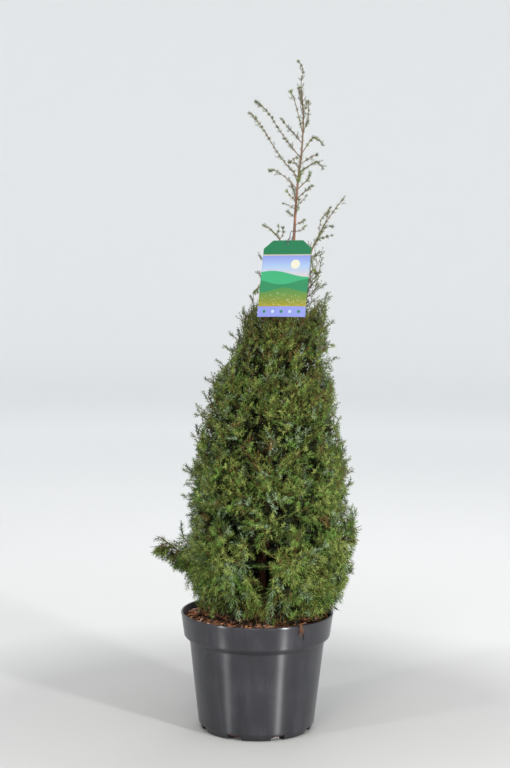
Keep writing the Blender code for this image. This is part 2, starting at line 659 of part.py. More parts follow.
def tie_line(frame):
    """Closed line of the tie: through the hole of the card, over its top edge and round the trunk."""
    out, up = frame.col[2].to_3d(), frame.col[1].to_3d()
    hole = frame @ Vector((0, TAG_HEIGHT / 2 - TAG_HOLE_DROP, 0))
    middle = trunk_at(TIE_HEIGHT)
    trunk_radius = float(np.interp(TIE_HEIGHT, [point[2] for point in TRUNK_LINE], TRUNK_RADII))
    back = (middle - hole)
    back = Vector((back.x, back.y, 0)).normalized()
    side = Vector((0, 0, 1)).cross(back)
    turn = trunk_radius + TIE_RADIUS + FIT_GAP
    over = hole + up * (TAG_HOLE_DROP + 0.0025)
    knots = [hole - out * 0.002, hole + out * 0.002, over + out * 0.001, over + up * 0.001 - out * 0.004]
    knots += [middle + side * turn - back * 0.012]
    for angle in (0, 45, 90, 135, 180):
        around_trunk = side * math.cos(math.radians(angle)) + back * math.sin(math.radians(angle))
        knots.append(middle + around_trunk * turn)
    knots += [middle - side * turn - back * 0.012, hole - out * 0.008]
    points = []
    for index in range(TIE_POINTS):
        place = index * len(knots) / TIE_POINTS
        span = int(place)
        t = place - span
        a, b, c, d = (knots[(span + step) % len(knots)] for step in (-1, 0, 1, 2))
        points.append(0.5 * (2 * b + (c - a) * t + (2 * a - 5 * b + 4 * c - d) * t ** 2
                             + (3 * b - a - 3 * c + d) * t ** 3))
    return points


def make_tie(points, finish):
    """Tie: one closed loop of thin strip."""
    bm = bmesh.new()
    rings = []
    side_way = (points[1] - points[0]).orthogonal().normalized()
    for index, point in enumerate(points):
        along = (points[(index + 1) % len(points)] - points[index - 1]).normalized()
        side_way = (side_way - along * side_way.dot(along)).normalized()
        other_way = along.cross(side_way)
        rings.append([bm.verts.new(point + (side_way * math.cos(math.radians(turn)) + other_way
                                            * math.sin(math.radians(turn))) * TIE_RADIUS)
                      for turn in range(0, 360, 360 // TIE_SIDES)])
    turned_by = closest_turn(rings[-1], rings[0])
    for index, ring in enumerate(rings):
        after = rings[(index + 1) % len(rings)]
        shift = turned_by if index == len(rings) - 1 else 0
        for side in range(len(ring)):
            beside = (side + 1) % TIE_SIDES
            bm.faces.new((ring[side], ring[beside], after[(beside + shift) % TIE_SIDES],
                          after[(side + shift) % TIE_SIDES]))
    return add_object("tag_tie", bm, finish)


def closest_turn(ring, after):
    """By how many corners the ring after has to be turned to meet a ring best."""
    return min(range(len(ring)), key=lambda shift: sum(
        (ring[side].co - after[(side + shift) % len(ring)].co).length for side in range(len(ring))))


def make_tag(frame, finish):
    """Label card: its two top corners are cut off, and it has a hole for its tie."""
    half, high = TAG_WIDTH / 2, TAG_HEIGHT / 2
    cut_x, cut_z = TAG_CHAMFER
    corners = [(-half, -high), (half, -high), (half, high - cut_z), (half - cut_x, high), (cut_x - half, high),
               (-half, high - cut_z)]
    bm = bmesh.new()
    face = bm.faces.new([bm.verts.new((x, y, -TAG_THICKNESS / 2)) for x, y in corners])
    moved = bmesh.ops.extrude_face_region(bm, geom=[face])["geom"]
    bmesh.ops.translate(bm, verts=[item for item in moved if isinstance(item, bmesh.types.BMVert)],
                        vec=(0, 0, TAG_THICKNESS))
    card = add_object("tag_card", bm, finish)
    card.matrix_world = frame
    punch_mesh = bmesh.new()
    bmesh.ops.create_cone(punch_mesh, cap_ends=True, segments=10, radius1=TAG_HOLE_RADIUS,
                          radius2=TAG_HOLE_RADIUS, depth=10 * TAG_THICKNESS)
    punch = add_object("tag_punch", punch_mesh)
    punch.matrix_world = frame @ Matrix.Translation((0, TAG_HEIGHT / 2 - TAG_HOLE_DROP, 0))
    punch.hide_render = True
    punch.display_type = "WIRE"
    hole = card.modifiers.new("tie_hole", "BOOLEAN")
    hole.object = punch
    hole.operation = "DIFFERENCE"
    return card


def main():
    """Build every piece."""
    for obj in list(bpy.data.objects):
        bpy.data.objects.remove(obj, do_unlink=True)
    plastic = material("pot_plastic", (0.045, 0.045, 0.050), 0.42)
    earth = material("soil_bark", (0.150, 0.062, 0.030), 0.95)
    bark = material("juniper_bark", (0.170, 0.085, 0.048), 0.85)
    leaf = material("juniper_foliage", (0.090, 0.150, 0.035), 0.65)
    card = material("label_card", (0.100, 0.330, 0.140), 0.40)
    make_pot(plastic)
    make_soil(earth)
    trunk = make_trunk(bark)
    trunk_tree = BVHTree.FromPolygons([vert.co for vert in trunk.data.vertices],
                                      [face.vertices for face in trunk.data.polygons])
    boughs, masses = plan_boughs_and_masses(trunk_tree)
    for name, points, radii, way in boughs:
        add_object(name, tube(points, radii, 5, start_way=way), bark, smooth_angle=50)
    frame = tag_frame()
    tie_points = tie_line(frame)
    spaces = Spaces(boughs, masses, frame, tie_points)
    guards = limb_guards(boughs)
    for index, mass in enumerate(masses):
        make_mass(index, mass, spaces, guards, leaf)
    for guard in list(guards.objects):
        bpy.data.objects.remove(guard, do_unlink=True)
    make_tag(frame, card)
    make_tie(tie_points, plastic)


main()
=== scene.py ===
"""Potted common juniper: its looks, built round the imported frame.

Metres, +Z up, front of the plant towards -Y, as in the part's source. The foliage
grows on from the source's boughs by the source's own rule: the same stems, the
same spaces and the same first twigs, carried on to sprigs, side sprigs and whorls
of three needles.
"""
import math
import random
from dataclasses import dataclass, field

import bpy
import numpy as np
from mathutils import Matrix, Vector, kdtree, noise


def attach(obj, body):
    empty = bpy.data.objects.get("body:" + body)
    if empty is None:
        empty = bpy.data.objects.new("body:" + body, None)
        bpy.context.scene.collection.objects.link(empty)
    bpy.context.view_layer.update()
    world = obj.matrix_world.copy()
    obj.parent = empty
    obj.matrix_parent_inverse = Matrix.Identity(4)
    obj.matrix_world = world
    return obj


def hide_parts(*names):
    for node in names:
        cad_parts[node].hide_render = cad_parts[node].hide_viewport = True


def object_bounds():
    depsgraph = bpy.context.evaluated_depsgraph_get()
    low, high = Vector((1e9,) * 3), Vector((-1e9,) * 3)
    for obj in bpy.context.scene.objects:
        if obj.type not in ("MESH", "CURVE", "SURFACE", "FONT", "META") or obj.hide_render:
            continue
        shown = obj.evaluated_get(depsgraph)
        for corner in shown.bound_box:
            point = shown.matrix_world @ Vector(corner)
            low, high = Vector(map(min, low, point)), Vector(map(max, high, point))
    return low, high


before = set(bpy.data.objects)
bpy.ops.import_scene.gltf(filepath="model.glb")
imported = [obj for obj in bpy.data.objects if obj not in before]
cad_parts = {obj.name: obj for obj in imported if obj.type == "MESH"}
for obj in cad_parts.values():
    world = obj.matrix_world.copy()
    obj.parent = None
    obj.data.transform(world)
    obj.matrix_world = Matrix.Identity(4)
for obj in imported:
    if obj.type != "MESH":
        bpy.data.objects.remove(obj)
CAD_LOW, CAD_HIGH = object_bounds()

# Pot, as in the source, with the finer steps of its moulding
POT_HEIGHT = 0.2339
POT_RIM_RADIUS = 0.1511
POT_BAND_FOOT = (0.1450, 0.1890)
POT_WALL_TOP = (0.1338, 0.1770)
POT_WALL_FOOT = (0.1146, 0.0120)
POT_FOOT_RADIUS = 0.1086
POT_WALL = 0.0020
POT_PAD_RADIUS = 0.0340
POT_CHANNEL_HEIGHT = 0.0040
POT_FLOOR_HEIGHT = 0.0065
POT_STEPS = 120
NOTCH_COUNT = 8
NOTCH_WIDTH = 0.0280
NOTCH_HEIGHT = 0.0110
SLIT_AZIMUTHS = (-53.0, 127.0)
SLIT_SIZE = (0.0050, 0.0018, 0.0180)
SLIT_HEIGHT = 0.2120

# Soil
FIT_GAP = 0.0003
SOIL_EDGE_HEIGHT = 0.2180
SOIL_SEAT_HEIGHT = 0.2210
SOIL_STEPS = 96
SOIL_TOP_RINGS = 34
CHIP_COUNT = 1500
FIBRE_COUNT = 170

# Trunk: its middle line (x, y, z) and its radius at each of those points
TRUNK_LINE = [
    (0.0090, 0.0000, SOIL_SEAT_HEIGHT + FIT_GAP), (0.0088, 0.0000, 0.2350), (0.0085, 0.0010, 0.3000),
    (0.0090, 0.0030, 0.4000), (0.0130, 0.0040, 0.5000), (0.0185, 0.0020, 0.6000), (0.0290, 0.0000, 0.7000),
    (0.0430, 0.0000, 0.8000), (0.0575, 0.0015, 0.9000), (0.0645, 0.0015, 0.9700), (0.0672, 0.0010, 1.0300),
    (0.0710, 0.0010, 1.0850), (0.0776, 0.0010, 1.1380), (0.0801, 0.0010, 1.1900), (0.0788, 0.0010, 1.2260),
    (0.0747, 0.0010, 1.2640),
]
TRUNK_RADII = [0.0175, 0.0112, 0.0094, 0.0078, 0.0068, 0.0059, 0.0051, 0.0043, 0.0034, 0.0027, 0.0023, 0.0020,
               0.0017, 0.0014, 0.0011, 0.0008]
TRUNK_SIDES = 24
TRUNK_RINGS = 110
PLANT_TIP = [(0.0756, 0.0010, 1.2815), (0.0783, 0.0005, 1.2968), (0.0668, 0.0000, 1.3130)]

# Crown: its middle line and its outline by height
CROWN_AXIS = [(0.25, 0.0200), (0.62, 0.0210), (0.70, 0.0280), (0.75, 0.0430), (0.81, 0.0500), (0.86, 0.0580),
              (0.95, 0.0650)]
CROWN_OUTLINE = [(0.225, 0.122), (0.26, 0.146), (0.30, 0.156), (0.45, 0.158), (0.50, 0.155), (0.555, 0.149),
                 (0.615, 0.135), (0.655, 0.124), (0.695, 0.112), (0.755, 0.095), (0.81, 0.082), (0.86, 0.069),
                 (0.91, 0.056), (0.95, 0.045), (0.985, 0.030)]
TUFT_REACH = 0.010

# Label card and its tie
TAG_WIDTH = 0.0968
TAG_HEIGHT = 0.1524
TAG_CHAMFER = (0.0179, 0.0164)
TAG_THICKNESS = 0.0008
TAG_MIDDLE = (0.0459, -0.0700, 0.8976)
TAG_TURN = math.radians(-20.5)
TAG_LEAN = math.radians(-1.8)
TAG_TILT = math.radians(20.0)
TAG_HOLE_DROP = 0.0080
TAG_BOW = 0.0016
TIE_RADIUS = 0.0008
TAG_HOLE_RADIUS = TIE_RADIUS + 0.0005
TIE_HEIGHT = 0.9850
TIE_POINTS = 120
PRINT_DEPTH = 0.46

# Growth, as in the source
GOLDEN_ANGLE = math.radians(137.5)
SPACE_GAP = 0.0008
LIMB_GAP = 0.0012
MARCH_STEP = 0.004
TWIG_REACH = 0.130
OPEN_SWING = 8
CORED_SWING = 28
SPRAY_ROLL = math.radians(40)
SHOWING_DEPTH = 0.024
SEED = 11

# Whorls of boughs: name, boughs, first azimuth, height where the first leaves the trunk and the rise of each
# next one, bough end (radius, height), stem bend and stem end (radius, height), bough radius at its foot and
# tip, twigs in a mass
WHORLS = [
    ("low", 6, -8.0, 0.2460, 0.0060,
     (0.050, 0.2800), (0.100, 0.2950), (0.134, 0.3700), 0.0046, 0.0030, 27),
    ("middle", 5, 54.0, 0.3600, 0.0080,
     (0.050, 0.4250), (0.098, 0.4550), (0.124, 0.5300), 0.0040, 0.0026, 31),
    ("upper", 4, 25.0, 0.5050, 0.0090,
     (0.038, 0.5700), (0.080, 0.6050), (0.090, 0.6900), 0.0034, 0.0022, 28),
]
FAR_REACH = {("low", 3): (0.214, 0.3720), ("low", 0): (0.166, 0.4200)}
FAR_REACH_TWIGS = 7

# Masses that grow straight from the trunk: name, count, first azimuth, height and rise, stem bend and stem end
# (radius, height), twigs
TRUNK_WHORLS = [
    ("shoulder", 4, 0.0, 0.6650, 0.0090, (0.040, 0.7150), (0.062, 0.8050), 17),
    ("neck", 3, 35.0, 0.8100, 0.0120, (0.026, 0.8600), (0.038, 0.9350), 8),
]

# Shoots of the leader: name, height where it leaves the trunk, then the points that its stem passes
LEADER_SHOOTS = [
    ("left_long", 1.0903, [(0.0367, -0.0057, 1.1286), (-0.0027, -0.0123, 1.1883), (-0.0248, -0.0190, 1.2135)]),
    ("left_high", 1.1278, [(0.0455, 0.0070, 1.1636), (0.0087, 0.0130, 1.2174), (-0.0135, 0.0190, 1.2354)]),
    ("left_back", 1.1560, [(0.0598, 0.0130, 1.1767), (0.0349, 0.0250, 1.2038)]),
    ("left_top", 1.1753, [(0.0725, -0.0060, 1.1995), (0.0612, -0.0100, 1.2400), (0.0532, -0.0130, 1.2551)]),
    ("right_top", 1.1800, [(0.0891, 0.0060, 1.2020), (0.0900, 0.0110, 1.2386)]),
    ("right_arch", 1.1381, [(0.0958, -0.0050, 1.1625), (0.1059, -0.0110, 1.1638), (0.1193, -0.0170, 1.1510)]),
    ("right_middle", 1.1160, [(0.0953, -0.0060, 1.1285), (0.1076, -0.0120, 1.1330)]),
    ("right_back", 1.1010, [(0.0994, 0.0097, 1.1164), (0.1100, 0.0183, 1.1179), (0.1214, 0.0270, 1.1064)]),
    ("right_low", 1.0679, [(0.0902, -0.0070, 1.0867), (0.0937, -0.0150, 1.0983)]),
    ("right_foot", 1.0500, [(0.0894, 0.0060, 1.0660), (0.0986, 0.0110, 1.0738)]),
    ("left_low", 1.0684, [(0.0501, -0.0030, 1.0863), (0.0279, -0.0070, 1.1015), (0.0149, -0.0110, 1.1014)]),
    ("back", 1.0350, [(0.0650, 0.0240, 1.0600), (0.0600, 0.0460, 1.0750)]),
    ("front", 1.0780, [(0.0740, -0.0200, 1.0880), (0.0750, -0.0370, 1.1010)]),
]
SIDE_LEADER_BOUGH = [(0.0740, -0.0040, 0.8400), (0.0986, -0.0120, 0.9494)]
SIDE_LEADER_TIP = [(0.1087, -0.0110, 0.9691), (0.1264, -0.0090, 1.0043), (0.1624, -0.0070, 1.0551)]
LEFT_STEM_HEIGHT = 0.9300
LEFT_STEM_TIP = [(0.0398, 0.0080, 0.9645), (0.0227, 0.0060, 0.9851), (0.0030, 0.0040, 0.9978)]

# Short twigs on the leader's trunk: height where each leaves, then the points that it passes. And those on the
# side leader and on the left stem, by all their points.
TRUNK_TWIGS = [
    (1.0451, [(0.0583, -0.0030, 1.0528), (0.0478, -0.0060, 1.0643)]),
    (1.0283, [(0.0559, 0.0040, 1.0347), (0.0416, 0.0080, 1.0397)]),
    (1.0127, [(0.0587, -0.0030, 1.0179), (0.0503, -0.0060, 1.0243)]),
    (0.9985, [(0.0771, 0.0020, 1.0025), (0.0849, 0.0040, 1.0077)]),
    (0.9850, [(0.0785, -0.0040, 0.9880), (0.0890, -0.0060, 0.9980)]),
    (1.0350, [(0.0790, 0.0040, 1.0440), (0.0895, 0.0060, 1.0560)]),
    (1.0180, [(0.0715, -0.0060, 1.0330), (0.0735, -0.0080, 1.0480)]),
    (1.1240, [(0.0660, -0.0030, 1.1270), (0.0540, -0.0060, 1.1180)]),
    (1.1060, [(0.0640, 0.0040, 1.1170), (0.0530, 0.0080, 1.1180)]),
    (1.0800, [(0.0655, -0.0050, 1.0920), (0.0620, -0.0080, 1.1020)]),
    (1.0900, [(0.0790, -0.0050, 1.0990), (0.0830, -0.0080, 1.1080)]),
    (1.2150, [(0.0850, -0.0030, 1.2260), (0.0860, -0.0050, 1.2370)]),
    (1.2250, [(0.0755, 0.0030, 1.2350), (0.0700, 0.0050, 1.2560)]),
    (1.2400, [(0.0735, -0.0040, 1.2480), (0.0700, -0.0060, 1.2620)]),
]

STEM_TWIGS = [
    [(0.1130, -0.0105, 0.9770), (0.1265, -0.0120, 0.9935), (0.1405, -0.0140, 0.9956)],
    [(0.1080, -0.0110, 0.9680), (0.1190, -0.0080, 0.9732), (0.1395, -0.0060, 0.9787)],
    [(0.1120, -0.0105, 0.9760), (0.1159, -0.0140, 1.0069), (0.1285, -0.0160, 1.0226)],
    [(0.1264, -0.0090, 1.0043), (0.1290, -0.0050, 1.0200), (0.1350, -0.0020, 1.0330)],
    [(0.0310, 0.0070, 0.9760), (0.0350, 0.0040, 0.9900), (0.0330, 0.0020, 0.9960)],
    [(0.0370, 0.0080, 0.9680), (0.0430, 0.0050, 0.9800), (0.0430, 0.0040, 0.9930)],
]

# Finer growth: where sprigs stand on a twig, how long they get, and how they lift by height
INFILL_SHARES = (1.0, 1.2)
SHORTEST_TWIG = 0.008
TWIG_LIFT = [(0.230, -0.34), (0.300, -0.22), (0.400, -0.05), (0.550, 0.20), (1.300, 0.30)]
TWIG_TINT_SHARE = 0.12
SPRIG_SPACING = 0.0064
SPRIG_STRETCH = 0.060
SPRIG_LENGTH = [(0.25, 0.034), (0.45, 0.031), (0.65, 0.026), (0.85, 0.022), (1.00, 0.020)]
SPRIG_SWING = 0.26
SPRIG_ANGLE = (34, 54)
SPRIG_LIFT = [(0.230, -1.20), (0.300, -0.90), (0.380, -0.45), (0.460, 0.05), (0.600, 0.50), (0.780, 0.70),
              (0.860, 1.30), (1.300, 1.30)]
SIDE_SPRIG_PLACES = (0.28, 0.52)
SIDE_SPRIG_SHARE = 0.46
SIDE_SPRIG_ANGLE = (36, 50)
FORKING_LENGTH = 0.014

# Where sprigs may stand: in the strip that neighbours share, past the crown's outline, inside the CAD box, over
# the pot's rim and above the soil, with the share that is left out by height
SHARED_SPACE = 0.014
SPRIG_REACH = [(0.25, -0.008), (0.29, 0.000), (0.33, 0.005), (0.42, 0.001), (0.60, 0.003), (0.68, 0.006),
               (0.75, 0.002), (1.00, 0.003)]
STRAY_SHARE = 0.12
STRAY_REACH = 0.012
BOX_REACH = -0.003
RIM_GAPS = (0.012, 0.004)
OVERHANG_DROP = 0.014
HEM_HEIGHT = 0.026
LOW_HEM_HEIGHT = 0.008
CARD_MARGIN = 0.006
CARD_BACK_GAP = 0.004
OPEN_SHARE = [(0.77, 0.0), (0.81, 0.26), (0.84, 0.58), (0.95, 0.68)]
# Sprigs deeper than SHADED_DEPTH below the outline take the shaded tint, which is painted shade.
SHADED_DEPTH = 0.040
HIDDEN_DEPTH = 0.066
HIDDEN_SHARE = 0.25

# Plumes that reach out of the crown: there twigs and sprigs are shorter and hang
OUTER_DEPTH = -0.008
OUTER_SHARE = 0.72
PLUME_END_TWIG = 0.009
PLUME_TUFT_LENGTH = (0.007, 0.015)

# Sprigs at bare places of the crown's surface
SURFACE_HEIGHTS = (0.262, 0.820)
SURFACE_STEP = 0.0100
BARE_DISTANCE = 0.0092
FILL_REACH = (0.008, 0.052)

# Slim shoots past the crown's surface, and the tips (x, z) of those that the photograph shows at its edges
EDGE_COUNT = 110
EDGE_FOOT, EDGE_SPAN = 0.31, 0.62
EDGE_PAST = (0.006, 0.016)
EDGE_REACH = (0.010, 0.055)
EDGE_BOX_REACH = 0.006
EDGE_LIFT = 0.30
EDGE_CARD_TESTS = (0.3, 0.45, 0.6, 0.75, 0.9, 1.0, 1.1)
EDGE_SIDE_PLACES = (0.45, 0.62, 0.80)
EDGE_TIPS = [
    (-0.0190, 0.8600), (-0.0310, 0.8330), (-0.0600, 0.7860), (-0.0710, 0.7620), (-0.0850, 0.7370),
    (-0.1070, 0.6990), (-0.1090, 0.6730), (-0.1240, 0.6470), (-0.1240, 0.6250), (-0.1320, 0.5860),
    (-0.1480, 0.5180), (-0.1500, 0.4640), (0.1940, 0.4400), (0.1890, 0.3760), (0.1890, 0.3340),
    (0.1192, 0.9360), (0.1156, 0.9480), (0.1315, 0.8686), (0.1084, 0.9087), (-0.0040, 0.9390),
    (-0.0065, 0.8730), (0.1165, 0.8530),
]

# Old sprigs in the crown's middle, their needles in the near-black shaded tint: painted shade
INNER_STEP = 0.0065
INNER_LENGTH = (0.026, 0.046)
INNER_ANGLE = (45, 80)
INNER_DEPTH = 0.022
INNER_TOP = 0.80

# Tufts on the leader's trunk, from and to these heights, and the stretches where they stand close together
TUFT_HEIGHTS = (1.030, 1.264)
TUFT_STEP = 0.0085
CROWDED_STRETCHES = ((1.090, 1.125), (1.195, 1.300))
BEAD_SPACING = 0.0076

# Gaps in the front of the crown through which its dark inside and the trunk show:
# middle (x, z), half width, half height, share of sprigs left out. Behind FRONT_DEPTH all sprigs stay.
FRONT_DEPTH = -0.012
FRONT_GAPS = [
    (0.008, 0.340, 0.015, 0.050, 0.97), (0.004, 0.640, 0.007, 0.014, 0.80), (0.013, 0.569, 0.008, 0.016, 0.80),
    (0.042, 0.518, 0.008, 0.013, 0.75), (0.030, 0.395, 0.010, 0.018, 0.80), (-0.014, 0.400, 0.008, 0.016, 0.75),
    (0.078, 0.667, 0.007, 0.012, 0.75), (0.121, 0.330, 0.008, 0.012, 0.70), (-0.030, 0.262, 0.007, 0.016, 0.85),
    (0.036, 0.268, 0.010, 0.020, 0.85),
]
WINDOW_SHARE = 0.9

# Needles: a whorl of three each few millimetres, long and spreading low on the plant, short near its top.
# Those of shaded sprigs are fewer, longer and wider.
NEEDLE_LENGTH = [(0.25, 0.0125), (0.36, 0.0112), (0.46, 0.0090), (0.60, 0.0074), (0.80, 0.0064), (0.95, 0.0054),
                 (1.30, 0.0048)]
NEEDLE_LENGTH_SWING = (0.80, 1.14)
NEEDLE_TIP_LOSS = 0.40
NEEDLE_WIDTH = 0.00128
NEEDLE_WIDTH_SWING = (0.85, 1.15)
NEEDLE_KEEL = 0.00062
NEEDLE_SPREAD = (62, 26)
NEEDLE_SPREAD_SWING = 9
NEEDLE_TURN_SWING = 0.25
SHADED_WIDTH, SHADED_LENGTH, SHADED_SPACING = 2.7, 1.5, 2.7
WHORL_SPACING = 0.0037
BARE_FOOT = 0.12
NEEDLE_FACES = np.array([[0, 1, 3], [0, 3, 2], [1, 2, 3]])
NEEDLE_FACE_FINISH = np.array([1, 0, 0])
TWIG_RADIUS = 0.00055
PIECE_LIMIT = 190000

# Tints of the sprays and how often each comes: name, green of the needle, paler upper face, share
TINTS = [
    ("deep", "#202d0f", "#49612a", 0.23),
    ("forest", "#2f4917", "#618039", 0.22),
    ("olive", "#414f16", "#788745", 0.24),
    ("fresh", "#50631e", "#84924d", 0.15),
    ("bluish", "#3b5032", "#7b9070", 0.13),
    ("bronze", "#4b3c19", "#75653b", 0.03),
    # The shaded tint is painted shade: near-black needles for sprigs deep in the crown, given by depth rather than
    # by share.
    ("shaded", "#141909", "#252c15", 0.0),
]
OLIVE_TINT = 2
PAINTED_SHADE_TINT = 6
# Below this height the deepest tint gives way to olive: painted light on the low foliage.
PAINTED_LIGHT_HEIGHT = 0.40
LEADER_TINTS = (0, 0, 1, 2, 2, 5)
EDGE_TINTS = LEADER_TINTS[:5]
TIERS = ["low", "middle", "upper", "shoulder", "neck", "leader"]

# Chips of bark in the mulch: name, colour, share
CHIP_TINTS = (("rust", "#9a6343", 0.33), ("orange", "#d8925c", 0.15), ("dark", "#45301f", 0.44),
              ("pink", "#cda899", 0.08))

# Clump of fibre that hangs over the pot's rim: its azimuth and spread in degrees, how far it hangs, and its
# path as radius, height, share of the sideways way and share of the drop
CLUMP_COUNT = 26
CLUMP_AZIMUTH, CLUMP_SPREAD = -56.5, 1.9
CLUMP_DROP = 0.026
CLUMP_PATH = [(0.136, 0.223, 0, 0), (0.1465, 0.2362, 1, 0), (0.1521, 0.2352, 1, 0), (0.1530, 0.2345, 1.5, 0.5),
              (0.1534, 0.2335, 2.5, 1)]

# Lights: name, azimuth from the camera's side, distance, height, size, power, height looked at, colour
LIGHTS = [
    ("strip_left", -53, 2.4, 0.62, (0.11, 1.2), 38, 0.25, "#ffffff"),
    ("strip_right", 41, 2.4, 0.62, (0.11, 1.2), 88, 0.25, "#ffffff"),
    ("key_soft", -10, 2.3, 2.8, (0.9, 0.9), 34, 0.6, "#fffaf2"),
    ("top_soft", 10, 0.9, 3.2, (1.8, 1.6), 26, 0.6, "#fffaf2"),
    ("back_soft", 165, 1.9, 2.3, (1.2, 1.2), 15, 0.6, "#ffffff"),
]
SURROUNDINGS = ("#e9edf2", 1.06)

# Camera: its place, its lens, how far it looks down and how far it is rolled
CAMERA_PLACE = (-0.0086, -3.70, 1.0952)
CAMERA_LENS = 89.06
CAMERA_DOWN = math.radians(6.3055)
CAMERA_ROLL = math.radians(0.531)

# Floor: where it starts to sweep up, its wall, and its level just under the pot's feet
FLOOR_RADIUS, WALL_RADIUS, WALL_HEIGHT = 6.0, 9.0, 6.0
SWEEP_RISE, SWEEP_STEPS = 3.0, 16
FLOOR_LEVEL = -0.001


@dataclass
class Mass:
    """One mass of foliage: the line of its stem and how freely it fills its space."""
    name: str
    tier: str
    line: list
    way: Vector
    radius: float
    twigs: int
    width: float
    cored: bool = False
    open_angle: float = 58.0
    in_crown: bool = True
    far: bool = False
    seed: int = 0
    points: np.ndarray = field(default=None, repr=False)


def at_height(table, z):
    """Value of a (height, value) table at one height or at many."""
    return np.interp(z, [row[0] for row in table], [row[1] for row in table])


def point_array(points):
    """Points or directions as an array."""
    return np.array([list(point) for point in points])


def smooth_point(a, b, c, d, t):
    """Point of a smooth curve that runs from b to c, with a before them and d after them."""
    return 0.5 * (2 * b + (c - a) * t + (2 * a - 5 * b + 4 * c - d) * t ** 2 + (3 * b - a - 3 * c + d) * t ** 3)


def curve_points(knots, count):
    """Evenly spread points of a smooth curve through the knots."""
    knots = [Vector(knot) for knot in knots]
    ends = [2 * knots[0] - knots[1]] + knots + [2 * knots[-1] - knots[-2]]
    spans = len(knots) - 1
    points = []
    for index in range(count):
        place = index * spans / (count - 1)
        span = min(int(place), spans - 1)
        points.append(smooth_point(*ends[span:span + 4], place - span))
    return points


def on_stem(stem, share):
    """Point at a share of the way along a stem's points, and the stem's direction there."""
    place = share * (len(stem) - 1)
    span = min(int(place), len(stem) - 2)
    return stem[span].lerp(stem[span + 1], place - span), (stem[span + 1] - stem[span]).normalized()


def square_to(along, turn):
    """Direction square to another, turned round it."""
    return Matrix.Rotation(turn, 3, along) @ along.orthogonal().normalized()


def swung(along, turn, degrees):
    """Direction that stands at an angle to another, turned round it."""
    angle = math.radians(degrees)
    return along * math.cos(angle) + square_to(along, turn) * math.sin(angle)


def trunk_at(z):
    """Middle of the trunk at height z."""
    x, y, heights = zip(*TRUNK_LINE)
    return Vector([float(np.interp(z, heights, values)) for values in (x, y, heights)])


def trunk_radius(z):
    """Radius of the trunk at height z."""
    return float(np.interp(z, [point[2] for point in TRUNK_LINE], TRUNK_RADII))


def around(azimuth):
    """Level direction at an azimuth in degrees, 0 at +X and 270 towards the front."""
    return Vector((math.cos(math.radians(azimuth)), math.sin(math.radians(azimuth)), 0.0))


def leave_trunk(height, level):
    """Where a limb starts on the trunk's bark, and its way there, square to the trunk."""
    middle = trunk_at(height)
    along = (trunk_at(height + 0.01) - trunk_at(height - 0.01)).normalized()
    way = (level - along * level.dot(along)).normalized()
    return middle + way * trunk_radius(height), way


def leave_towards(height, knot):
    """Where a limb that passes a knot starts on the trunk's bark, and its way there."""
    level = Vector(knot) - trunk_at(height)
    return leave_trunk(height, Vector((level.x, level.y, 0)).normalized())


def bough_line(start, way, end):
    """Line of a bough: level where it leaves the trunk, then rising to its end."""
    bend = start + way * 0.014 + Vector((0, 0, 0.004))
    halfway = bend.lerp(end, 0.5) + Vector((0, 0, -0.004))
    return curve_points([start, bend, halfway, end], 5)


def crown_point(azimuth, radius, height):
    """Point at a radius from the crown's middle line."""
    return Vector((float(at_height(CROWN_AXIS, height)), 0, height)) + around(azimuth) * radius


def add_bough(boughs, name, points, foot, tip):
    """One more bough. Returns where the mass on its end starts, and its way there."""
    boughs.append((name, points, np.linspace(foot, tip, len(points))))
    way = (points[-1] - points[-2]).normalized()
    return points[-1] + way * FIT_GAP, way


def leader_mass(name, line, way, radius, twigs=0, width=0.0, open_angle=42.0, seed=0):
    """A shoot of the leader, which stands free of the crown."""
    return Mass(name, "leader", line, way, radius, twigs, width, open_angle=open_angle, in_crown=False, seed=seed)


